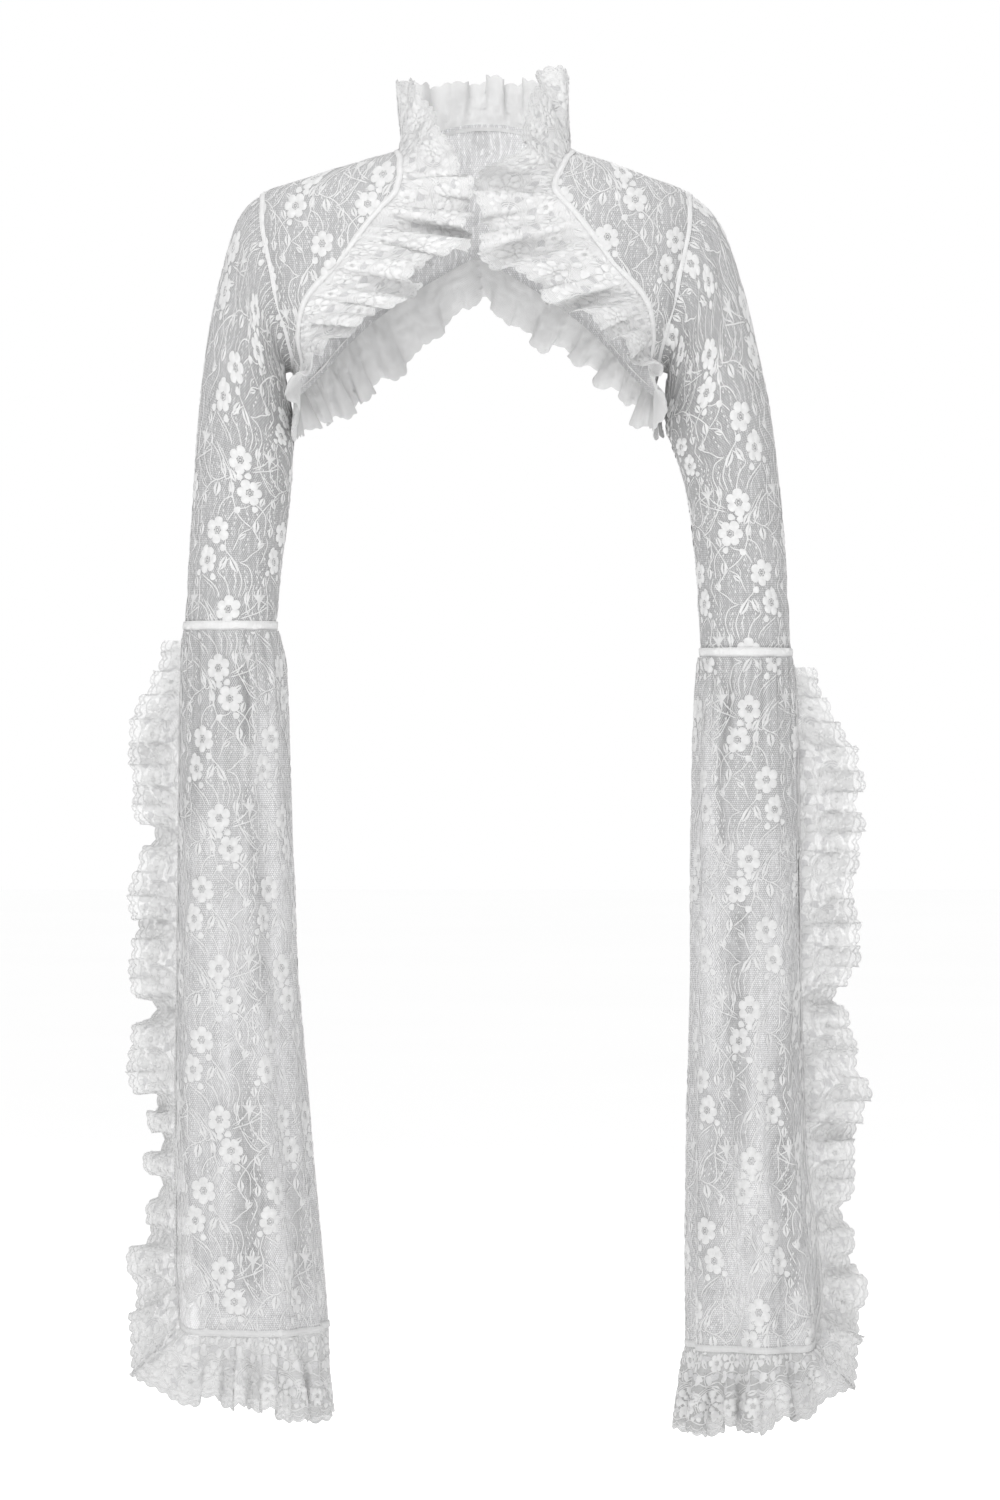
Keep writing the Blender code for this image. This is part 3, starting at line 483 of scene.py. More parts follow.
def back_sheet():
    """Back panel, each row from the left side to the right, and its flat layout."""
    levels = np.linspace(0, 1, PANEL_STEPS + 1)
    turn = pi * np.clip((levels - 0.14) / 0.78, 0, 1)
    edge_angle, edge_drop = armhole_place(turn)
    edge_drop = np.where(levels < 0.14, SHOULDER_TIP_DROP * levels / 0.14, edge_drop)
    edge_drop = np.where(levels > 0.92,
        UNDERARM_DROP + (SIDE_HEM_DROP - UNDERARM_DROP) * (levels - 0.92) / 0.08, edge_drop)
    edge_angle = np.where((levels < 0.14) | (levels > 0.92), 0.0, edge_angle)[:, None]
    top = back_neck_drop(edge_angle)
    fall = (edge_drop[:, None] - top) / (back_hem_drop(edge_angle) - top)
    angle = edge_angle + (pi / 2 - edge_angle) * np.linspace(0, 1, PANEL_STEPS + 1)[None, :]
    top = back_neck_drop(angle)
    drop = top + (back_hem_drop(angle) - top) * fall
    left = body_point(angle, drop, 1)
    left[:, -1, 0] = 0.0
    cut = body_cut(angle, drop, 1)
    right = left[:, -2::-1] * (-1, 1, 1)
    return np.concatenate((left, right), axis=1), np.concatenate((cut, cut[:, -2::-1] * (-1, 1)), axis=1)


def arm_point(side, reach, turn):
    """Point of a fitted sleeve: turn 0 at its outer line, over the front to pi at its inner line."""
    rings = ARMS[side]
    reach, turn = np.broadcast_arrays(np.asarray(reach, float), np.asarray(turn, float))
    outer_share = (1 + np.cos(turn)) / 2

    def at(column):
        return along(rings, "reach", column, reach)

    point = points_of(
        at("inner_out") + (at("outer_out") - at("inner_out")) * outer_share,
        at("back") - at("half_depth") * np.sin(turn),
        -(at("inner_drop") + (at("outer_drop") - at("inner_drop")) * outer_share),
    )
    fade = np.maximum(1 - reach / ARMHOLE_FADE, 0.0)[..., None] ** 2
    turn = np.mod(turn, 2 * pi)
    front = turn <= pi
    angle, drop = armhole_place(np.where(front, turn, 2 * pi - turn))
    seam = np.where(front[..., None], body_point(angle, drop, -1), body_point(angle, drop, 1))
    ring = rings[0]
    plain = points_of(
        ring.inner_out + (ring.outer_out - ring.inner_out) * outer_share,
        ring.back - ring.half_depth * np.sin(turn),
        -(ring.inner_drop + (ring.outer_drop - ring.inner_drop) * outer_share),
    )
    return point + (seam - plain) * fade


def bell_point(side, share, around, folded=True):
    """Point of a bell: share 0 at the elbow to 1 at the hem, around from the slit over the front."""
    levels = BELLS[side]
    share, around = np.broadcast_arrays(np.asarray(share, float), np.asarray(around, float))

    def at(column):
        return along(levels, "share", column, share)

    angle = at("slit") + (360 - at("slit") - at("rear_slit")) * around
    turn = np.radians(angle)
    half_width = (at("outer") - at("inner")) / 2
    depth = np.where(np.sin(turn) >= 0, at("front"), at("rear"))
    normal = unit(points_of(np.cos(turn) / half_width, -np.sin(turn) / depth, 0.0))
    middle = (at("outer") + at("inner")) / 2
    drop = BELL_TOP[side] + (BELL_HEM[side] - BELL_TOP[side]) * share
    point = points_of(middle + half_width * np.cos(turn), at("back") - depth * np.sin(turn), -drop)
    if folded:
        swell = at("gather") * (0.5 - 0.5 * np.cos(2 * pi * GATHERS * around))
        for fold in FOLDS[side]:
            away = np.clip(np.abs(angle - fold.angle - fold.drift * share) / fold.width, 0, 1)
            swell = swell + fold.depth * at("fold") * (0.5 + 0.5 * np.cos(pi * away))
        point = point + normal * swell[..., None]
    return point


def bell_bottom(side, around):
    """Share of a bell's length at which its hem lies, with both corners rounded."""
    corner = BELL_CORNERS[side]
    return 1 - corner.rise * np.maximum(1 - np.minimum(around, 1 - around) / corner.width, 0.0) ** 2


def loop_base(run):
    """Points of the half loop that the body ruffle is sewn to."""
    neck_angle = pi / 2 * (1 - np.clip(run / NECK_RUN, 0, 1))
    hem_angle = pi / 2 * np.clip((run - NECK_RUN - FRONT_RUN) / HEM_RUN, 0, 1)
    seam_angle, seam_drop = front_seam_place(np.clip((run - NECK_RUN) / FRONT_RUN, 0, 1))
    neck = body_point(neck_angle, back_neck_drop(neck_angle), 1)
    front = body_point(seam_angle, seam_drop, -1)
    hem = body_point(hem_angle, back_hem_drop(hem_angle), 1)
    run = run[:, None]
    return np.where(run < NECK_RUN, neck, np.where(run < NECK_RUN + FRONT_RUN, front, hem))


def body_ruffle_place(signed_run):
    """Base, direction, reach and wave height of the body ruffle; negative on the right."""
    run = np.abs(signed_run)
    sign = np.where(signed_run < 0, -1.0, 1.0)

    def at(column):
        right = along(BODY_RUFFLE["right"], "run", column, run)
        return np.where(signed_run < 0, right, along(BODY_RUFFLE["left"], "run", column, run))

    base = loop_base(run)
    base[:, 0] *= sign
    width = points_of(at("out") * sign, at("back"), -at("drop")) - base
    return base, unit(width), np.linalg.norm(width, axis=-1), at("swell")


def bell_edge_place(side, share):
    """Around and share of length along a bell's free edge: front slit, hem, back slit."""
    share = np.clip(share, 0, 1)
    corner = bell_bottom(side, 0.0)
    around = np.clip((share - SLIT_SHARE) / (1 - 2 * SLIT_SHARE), 0, 1)
    fall = bell_bottom(side, around)
    fall = np.where(share < SLIT_SHARE, corner * share / SLIT_SHARE, fall)
    return around, np.where(share > 1 - SLIT_SHARE, corner * (1 - share) / SLIT_SHARE, fall)


def bell_ruffle_place(side, share):
    """Base, direction, reach and wave height of a bell's ruffle along its edge."""
    def plain_edge(place):
        around, fall = bell_edge_place(side, place)
        return bell_point(side, fall, around, folded=False)

    around, fall = bell_edge_place(side, share)
    run = unit(plain_edge(share + EDGE_STEP) - plain_edge(share - EDGE_STEP))
    here = plain_edge(share)
    middle = (along(BELLS[side], "share", "outer", fall) + along(BELLS[side], "share", "inner", fall)) / 2
    outward = unit(points_of(here[:, 0] - middle, here[:, 1], 0.0))
    tangent = unit(np.cross(outward, run))

    def at(column):
        return along(BELL_EDGES[side], "share", column, share)

    turn = np.radians(at("turn"))[:, None]
    away = unit(tangent * np.cos(turn) + outward * np.sin(turn))
    base = bell_point(side, fall, around) + tangent * (at("inset") - 0.001)[:, None]
    taper = BELL_TAPER_START + (1 - BELL_TAPER_START) * ease(np.minimum(share, 1 - share) / BELL_TAPER)
    return base, away, at("reach") * taper, BELL_SWELL * taper


def settled(points):
    """The points as worn, with the neck moved to the wearer's left."""
    worn = np.array(points, float)
    worn[..., 0] += NECK_SHIFT * ease(1 + worn[..., 2] / NECK_SHIFT_DROP)
    return worn


def grid_normals(points):
    """Unit normals of a grid of points."""
    down = np.gradient(points, axis=0)
    across = np.gradient(points, axis=1)
    return unit(np.cross(across, down))


def lengths_along(points, axis):
    """Running length of a grid's lines along one axis."""
    steps = np.linalg.norm(np.diff(points, axis=axis), axis=-1)
    pad = [(0, 0), (0, 0)]
    pad[axis] = (1, 0)
    return np.cumsum(np.pad(steps, pad), axis=axis)


def creased(points, cut, creases):
    """The sheet with soft creases, each a ridge or a trough placed on its flat layout."""
    height = np.zeros(points.shape[:2])
    for crease in creases:
        turn = radians(crease.turn)
        right = cut[..., 0] - crease.across
        up = cut[..., 1] - crease.up
        lengthwise = right * sin(turn) + up * cos(turn)
        sideways = right * cos(turn) - up * sin(turn) + crease.bend * lengthwise**2
        height += crease.depth * np.exp(-((sideways / crease.width) ** 2) - (lengthwise / crease.length) ** 2)
    return points + grid_normals(points) * height[..., None]


def ruffle_sheet(place, first, last, wave_length, scallop, fine):
    """Gathered strip with a scalloped edge, and its flat layout with 0 at the edge's valleys."""
    runs = np.linspace(first, last, 6001)

    def edge(run, share, bump):
        base, away, reach, swell = place(run)
        along_edge = unit(np.gradient(base, axis=0))
        normal = unit(np.cross(along_edge, away))
        wave = run / wave_length
        phase = 2 * pi * wave + 0.5 * np.sin(1.7 * wave)
        height = swell * (1 + 0.16 * np.sin(2.3 * wave + 0.7) + fine.lobe * np.sin(phase / 2 + 0.4)) * np.sin(phase)
        height = height + swell * 0.07 * np.sin(3 * phase + 2.0 * np.sin(0.9 * wave))
        height = height * fine.swell
        roll = -fine.roll * spacing * np.sin(2 * phase) * (1 + 0.35 * np.sin(1.3 * wave))
        gather = 0.0006 * np.sin(2 * pi * wave * 3.1 + 1.9 * np.sin(0.63 * wave)) * np.sin(pi * min(share * 2.2, 1.0)) ** 0.5
        lobe = 0.045 * np.cos(phase + 0.8) + 0.12 * fine.lobe * np.sin(phase / 2 + 1.1)
        across = reach * share + (bump + reach * lobe) * share**6
        return (
            base + away * across[:, None] + normal * (height * share**0.8 + gather)[:, None]
            + along_edge * (roll * share**1.3)[:, None]
        ), reach

    spacing = np.linalg.norm(np.diff(place(runs)[0], axis=0), axis=1).sum() / abs(last - first) * wave_length
    length = np.concatenate(([0.0],
        np.cumsum(np.linalg.norm(np.diff(edge(runs, 1.0, 0.0)[0], axis=0), axis=1))))
    columns = int(ceil(length[-1] / RUFFLE_STEP))
    cloth = np.linspace(0, length[-1], columns + 1)
    runs = np.interp(cloth, length, runs)
    bump = scallop.depth * np.abs(np.sin(pi * cloth / scallop.width)) ** 0.75
    rows, cuts = [], []
    for row in range(RUFFLE_ROWS + 1):
        share = row / RUFFLE_ROWS
        points, reach = edge(runs, share, bump)
        rows.append(points)
        cuts.append(np.stack((cloth, (share - 1) * reach + bump * share**6), axis=-1))
    return np.array(rows), np.array(cuts)


Crease = namedtuple("Crease", "across up turn length width depth bend")
LongFold = namedtuple("LongFold", "high_out high_up low_out low_up width depth")
BACK_CREASES = table(
    Crease,
    (0.10, -0.10, 62, 0.050, 0.010, -0.0022, 2.0),
    (-0.11, -0.11, -58, 0.050, 0.010, -0.0022, -2.0),
    (0.02, -0.07, 70, 0.045, 0.010, 0.0009, 2.0),
    (0.15, -0.16, 40, 0.035, 0.008, 0.0018, 0.0),
    (-0.15, -0.15, -36, 0.035, 0.008, 0.0018, 0.0),
)
FRONT_CREASES = table(
    Crease,
    (0.165, -0.12, -38, 0.045, 0.008, -0.0020, 1.5),
    (0.150, -0.09, -50, 0.040, 0.010, 0.0016, 0.0),
    (0.120, -0.10, -30, 0.035, 0.009, -0.0014, 0.0),
)
SLEEVE_CREASES = table(
    Crease,
    (-0.045, -0.045, -32, 0.050, 0.008, -0.0024, 2.0),
    (0.030, -0.060, 24, 0.055, 0.010, -0.0020, 2.0),
    (0.060, -0.030, 40, 0.045, 0.008, 0.0020, 0.0),
    (-0.020, -0.270, 70, 0.050, 0.007, -0.0016, 3.0),
    (0.035, -0.240, 100, 0.045, 0.007, -0.0016, -3.0),
    (0.020, -0.300, 82, 0.050, 0.008, 0.0014, 2.0),
    (-0.110, -0.100, 12, 0.070, 0.011, -0.0018, 0.0),
    (-0.090, -0.220, -14, 0.060, 0.010, 0.0016, 0.0),
    (0.100, -0.140, -8, 0.070, 0.010, -0.0018, 0.0),
)
BELL_CREASES = {
    "right": table(
        Crease,
        (-0.060, -0.30, 2, 0.160, 0.007, -0.0020, 0.1),
        (0.030, -0.38, -2, 0.200, 0.008, 0.0020, 0.1),
        (0.120, -0.30, 3, 0.180, 0.009, -0.0022, 0.1),
        (0.200, -0.36, -2, 0.180, 0.010, 0.0022, 0.0),
        (0.290, -0.28, 2, 0.160, 0.009, -0.0020, 0.0),
    ),
    "left": table(
        Crease,
        (-0.060, -0.34, -2, 0.180, 0.008, -0.0020, 0.1),
        (0.020, -0.26, 2, 0.140, 0.007, 0.0018, 0.1),
        (0.090, -0.40, 2, 0.180, 0.009, -0.0022, 0.1),
        (0.190, -0.32, -3, 0.180, 0.010, 0.0022, 0.0),
        (0.280, -0.38, 2, 0.160, 0.009, -0.0020, 0.0),
    ),
}

# Corner of one floral repeat on each piece's flat layout
FRONT_ORIGIN = {"right": (0.110, -0.155), "left": (0.090, -0.150)}
SLEEVE_ORIGIN = {
    "upper_sleeve_right": (-0.040, -0.290), "upper_sleeve_left": (-0.040, -0.330),
    "lower_sleeve_right": (-0.040, -0.120), "lower_sleeve_left": (-0.040, -0.120),
}
BELL_ORIGIN = {"right": (-0.050, -0.16), "left": (-0.040, -0.30)}

# Long folds of the bells: how far out and up each starts and ends, its width and how deep it lies;
# a negative depth stands out. The depth also sets the painted shade along the fold, a negative one painted light
BELL_FOLDS = {
    "right": table(
        LongFold,
        (0.199, -0.440, 0.195, -0.520, 0.0045, 0.9), (0.186, -0.430, 0.172, -0.780, 0.0120, -0.45),
        (0.194, -0.530, 0.180, -0.760, 0.0080, 0.55), (0.216, -0.640, 0.212, -0.960, 0.0070, -0.45),
        (0.200, -0.780, 0.190, -1.010, 0.0160, 0.65), (0.172, -0.740, 0.164, -1.010, 0.0100, -0.40),
        (0.158, -0.860, 0.148, -1.010, 0.0060, 0.60), (0.238, -0.440, 0.246, -0.600, 0.0060, 0.35),
    ),
    "left": table(
        LongFold,
        (0.214, -0.450, 0.208, -0.620, 0.0045, 0.9), (0.204, -0.450, 0.196, -0.800, 0.0100, -0.45),
        (0.226, -0.600, 0.222, -0.880, 0.0090, 0.55), (0.246, -0.650, 0.248, -1.000, 0.0100, -0.45),
        (0.262, -0.720, 0.270, -1.020, 0.0130, 0.60), (0.205, -0.800, 0.196, -1.010, 0.0110, 0.35),
        (0.228, -0.860, 0.226, -1.020, 0.0080, -0.45), (0.286, -0.640, 0.296, -1.000, 0.0100, -0.35),
    ),
}


def stored_mesh(name, vertices, faces, cuts=None, shade=None):
    """Mesh from points and faces, with its flat layout as the UV map "cut"."""
    mesh = bpy.data.meshes.new(name)
    mesh.from_pydata([tuple(p) for p in vertices], [], faces)
    if cuts is not None:
        layer = mesh.uv_layers.new(name="cut")
        layer.data.foreach_set("uv", np.asarray(cuts, np.float32).ravel())
    if shade is not None:
        mesh.attributes.new("shade", "FLOAT", "POINT").data.foreach_set("value",
            np.asarray(shade, np.float32).ravel())
    mesh.validate()
    mesh.shade_smooth()
    return mesh


def cloth_mesh(name, points, cut, closed=False, shade=None, outward=None):
    """One sheet of cloth from a grid of points; a closed one ends where it begins."""
    rows, columns = points.shape[:2]
    index = np.arange(rows * columns).reshape(rows, columns)
    if closed:
        index[:, -1] = index[:, 0]
    corners = [(slice(0, -1), slice(0, -1)), (slice(0, -1), slice(1, None)), (slice(1, None), slice(1, None)),
        (slice(1, None), slice(0, -1))]
    flip = outward is not None and np.sum(grid_normals(points) * outward) < 0
    order = corners[::-1] if flip else corners
    faces = np.stack([index[c] for c in order], axis=-1).reshape(-1, 4)
    cuts = np.stack([cut[c] for c in order], axis=-2).reshape(-1, 2)
    used, faces = np.unique(faces, return_inverse=True)
    faces = faces.reshape(-1, 4)
    shades = None if shade is None else shade.reshape(-1)[used]
    return stored_mesh(name, points.reshape(-1, 3)[used], [tuple(map(int, f)) for f in faces], cuts, shades)


def finished(name, mesh, material):
    """Object with its finish, riding on the jacket."""
    mesh.materials.clear()
    mesh.materials.append(material)
    piece = bpy.data.objects.new(name, mesh)
    bpy.context.scene.collection.objects.link(piece)
    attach(piece, "root")
    return piece


def flat_area(mesh):
    """Area of a mesh's flat layout."""
    cuts = np.empty(len(mesh.loops) * 2, np.float32)
    mesh.uv_layers["cut"].data.foreach_get("uv", cuts)
    cuts = cuts.reshape(-1, 4, 2).astype(float)
    diagonals = cuts[:, 2] - cuts[:, 0], cuts[:, 3] - cuts[:, 1]
    area = np.abs(diagonals[0][:, 0] * diagonals[1][:, 1] - diagonals[0][:, 1] * diagonals[1][:, 0]).sum() / 2
    return float(area), np.ptp(cuts.reshape(-1, 2), axis=0)


def sheet(name, mesh, material, node=None, gathers=0.0):
    """Finished sheet; the area and size of its cut are measured, and nothing uses them.

    With gathers, the area isn't measured from the cut: it is the formed sheet's area and this guessed share more.
    The area test can't find anything wrong with such a sheet.
    """
    area, flat = flat_area(mesh)
    if gathers:
        area = sum(face.area for face in mesh.polygons) * (1 + gathers)
    piece = finished(name, mesh, material)
    if node:
        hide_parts(node)
    return piece


# ---- Geometry Nodes: a flat repeat laid over a sheet by its cut layout ----

def group_node(tree, kind, inputs=None, **settings):
    """A node with its settings and its inputs, each a value or another node's output."""
    made = tree.nodes.new(kind)
    for key, value in settings.items():
        setattr(made, key, value)
    for key, value in (inputs or {}).items():
        if isinstance(value, bpy.types.NodeSocket):
            tree.links.new(value, made.inputs[key])
        else:
            made.inputs[key].default_value = value
    return made


def drape_tree():
    """Node tree that lays rows of a flat repeat over a sheet, following its flat layout."""
    tree = bpy.data.node_groups.new("Drape Repeat", "GeometryNodeTree")
    face = tree.interface
    face.new_socket("Geometry", in_out="INPUT", socket_type="NodeSocketGeometry")
    for name, kind, value in (
        ("Repeat", "NodeSocketObject", None), ("Repeat Width", "NodeSocketFloat", 0.07),
        ("Repeat Height", "NodeSocketFloat", 0.128),
        ("Columns", "NodeSocketInt", 4), ("Rows", "NodeSocketInt", 4), ("First Across", "NodeSocketFloat", 0.0),
        ("First Up", "NodeSocketFloat", 0.0), ("Rise", "NodeSocketFloat", 0.0003), ("Seed", "NodeSocketInt", 3),
        ("Sway", "NodeSocketFloat", 0.0), ("Finish", "NodeSocketMaterial", None),
    ):
        socket = face.new_socket(name, in_out="INPUT", socket_type=kind)
        if value is not None:
            socket.default_value = value
    face.new_socket("Geometry", in_out="OUTPUT", socket_type="NodeSocketGeometry")
    given = tree.nodes.new("NodeGroupInput")

    def node(kind, inputs=None, **settings):
        return group_node(tree, kind, inputs, **settings)

    def maths(operation, first, second=0.0):
        return node("ShaderNodeMath", {0: first, 1: second}, operation=operation).outputs[0]

    width, height = given.outputs["Repeat Width"], given.outputs["Repeat Height"]
    span_across = maths("MULTIPLY", maths("SUBTRACT", given.outputs["Columns"], 1.0), width)
    span_up = maths("MULTIPLY", maths("SUBTRACT", given.outputs["Rows"], 1.0), height)
    lattice = node("GeometryNodeMeshGrid", {"Size X": span_across, "Size Y": span_up,
                                            "Vertices X": given.outputs["Columns"],
                                            "Vertices Y": given.outputs["Rows"]})
    start = node("ShaderNodeCombineXYZ", {
        "X": maths("ADD", given.outputs["First Across"], maths("MULTIPLY", span_across, 0.5)),
        "Y": maths("ADD", given.outputs["First Up"], maths("MULTIPLY", span_up, 0.5)),
    }).outputs[0]
    placed = node("GeometryNodeSetPosition", {"Geometry": lattice.outputs["Mesh"], "Offset": start}).outputs[0]
    sway = node("FunctionNodeRandomValue", {"Seed": given.outputs["Seed"]}, data_type="FLOAT")
    sway.inputs[2].default_value = -1.0
    sway.inputs[3].default_value = 1.0
    turn = node("ShaderNodeCombineXYZ",
        {"Z": maths("MULTIPLY", sway.outputs[1], given.outputs["Sway"])}).outputs[0]
    motif = node("GeometryNodeObjectInfo", {"Object": given.outputs["Repeat"]}, transform_space="ORIGINAL")
    spread = node("GeometryNodeInstanceOnPoints",
        {"Points": placed, "Instance": motif.outputs["Geometry"], "Rotation": turn})
    flat = node("GeometryNodeRealizeInstances", {"Geometry": spread.outputs[0]}).outputs[0]
    where = node("GeometryNodeInputPosition").outputs[0]
    flat = node("GeometryNodeStoreNamedAttribute", {"Geometry": flat, "Name": "cut", "Value": where},
                data_type="FLOAT2", domain="CORNER").outputs[0]
    layout = node("GeometryNodeInputNamedAttribute", {"Name": "cut"}, data_type="FLOAT_VECTOR").outputs[0]
    sheet_geometry = given.outputs["Geometry"]

    def sampled(value):
        return node("GeometryNodeSampleUVSurface",
            {"Mesh": sheet_geometry, "Value": value, "UV Map": layout, "Sample UV": where},
                    data_type="FLOAT_VECTOR")

    on_sheet = sampled(node("GeometryNodeInputPosition").outputs[0])
    normal = sampled(node("GeometryNodeInputNormal").outputs[0])
    kept = node("GeometryNodeDeleteGeometry", {
        "Geometry": flat, "Selection": node("FunctionNodeBooleanMath", {0: on_sheet.outputs["Is Valid"]},
            operation="NOT").outputs[0],
    }, domain="POINT").outputs[0]
    relief = node("ShaderNodeSeparateXYZ", {0: where}).outputs[2]
    lift = node("ShaderNodeVectorMath", {0: normal.outputs["Value"]}, operation="SCALE")
    tree.links.new(maths("ADD", relief, given.outputs["Rise"]), lift.inputs["Scale"])
    worn = node("ShaderNodeVectorMath", {0: on_sheet.outputs["Value"], 1: lift.outputs[0]},
        operation="ADD").outputs[0]
    laid = node("GeometryNodeSetPosition", {"Geometry": kept, "Position": worn}).outputs[0]
    smooth = node("GeometryNodeSetShadeSmooth", {"Geometry": laid}).outputs[0]
    real = node("GeometryNodeRealizeInstances", {"Geometry": smooth}).outputs[0]
    done = node("GeometryNodeSetMaterial", {"Geometry": real, "Material": given.outputs["Finish"]}).outputs[0]
    tree.links.new(done, tree.nodes.new("NodeGroupOutput").inputs[0])
    return tree


def socket_id(tree, name):
    """Identifier of a tree's named input."""
    for item in tree.interface.items_tree:
        if item.item_type == "SOCKET" and item.in_out == "INPUT" and item.name == name:
            return item.identifier
    raise KeyError(name)


def draped(name, mesh, repeat, width, height, origin, material, rows=None, rise=0.0003):
    """Lay a repeat over a sheet, with one repeat's corner at the origin of its layout, as its own piece."""
    tree = bpy.data.node_groups.get("Drape Repeat") or drape_tree()
    cuts = np.empty(len(mesh.loops) * 2, np.float32)
    mesh.uv_layers["cut"].data.foreach_get("uv", cuts)
    low, high = cuts.reshape(-1, 2).min(axis=0), cuts.reshape(-1, 2).max(axis=0)
    first_across = origin[0] + floor((low[0] - origin[0]) / width - 0.4) * width
    columns = int(ceil((high[0] - first_across) / width + 0.4)) + 1
    if rows is None:
        first_up = origin[1] + floor((low[1] - origin[1]) / height - 0.4) * height
        rows = int(ceil((high[1] - first_up) / height + 0.4)) + 1
    else:
        first_up = origin[1]
    carrier = bpy.data.objects.new(name + "_carrier", mesh)
    bpy.context.scene.collection.objects.link(carrier)
    modifier = carrier.modifiers.new("drape", "NODES")
    modifier.node_group = tree
    for key, value in (
        ("Repeat", repeat), ("Repeat Width", width), ("Repeat Height", height), ("Columns", columns),
        ("Rows", rows),
        ("First Across", float(first_across)), ("First Up", float(first_up)), ("Rise", rise), ("Seed", 3),
        ("Finish", material),
    ):
        modifier[socket_id(tree, key)] = value
    depsgraph = bpy.context.evaluated_depsgraph_get()
    evaluated = carrier.evaluated_get(depsgraph)
    laid = bpy.data.meshes.new_from_object(evaluated, preserve_all_data_layers=True, depsgraph=depsgraph)
    carrier.modifiers.clear()
    bpy.data.objects.remove(carrier)
    if not len(laid.polygons):
        raise RuntimeError("nothing was laid on " + name)
    piece = finished(name, laid, material)
    return piece
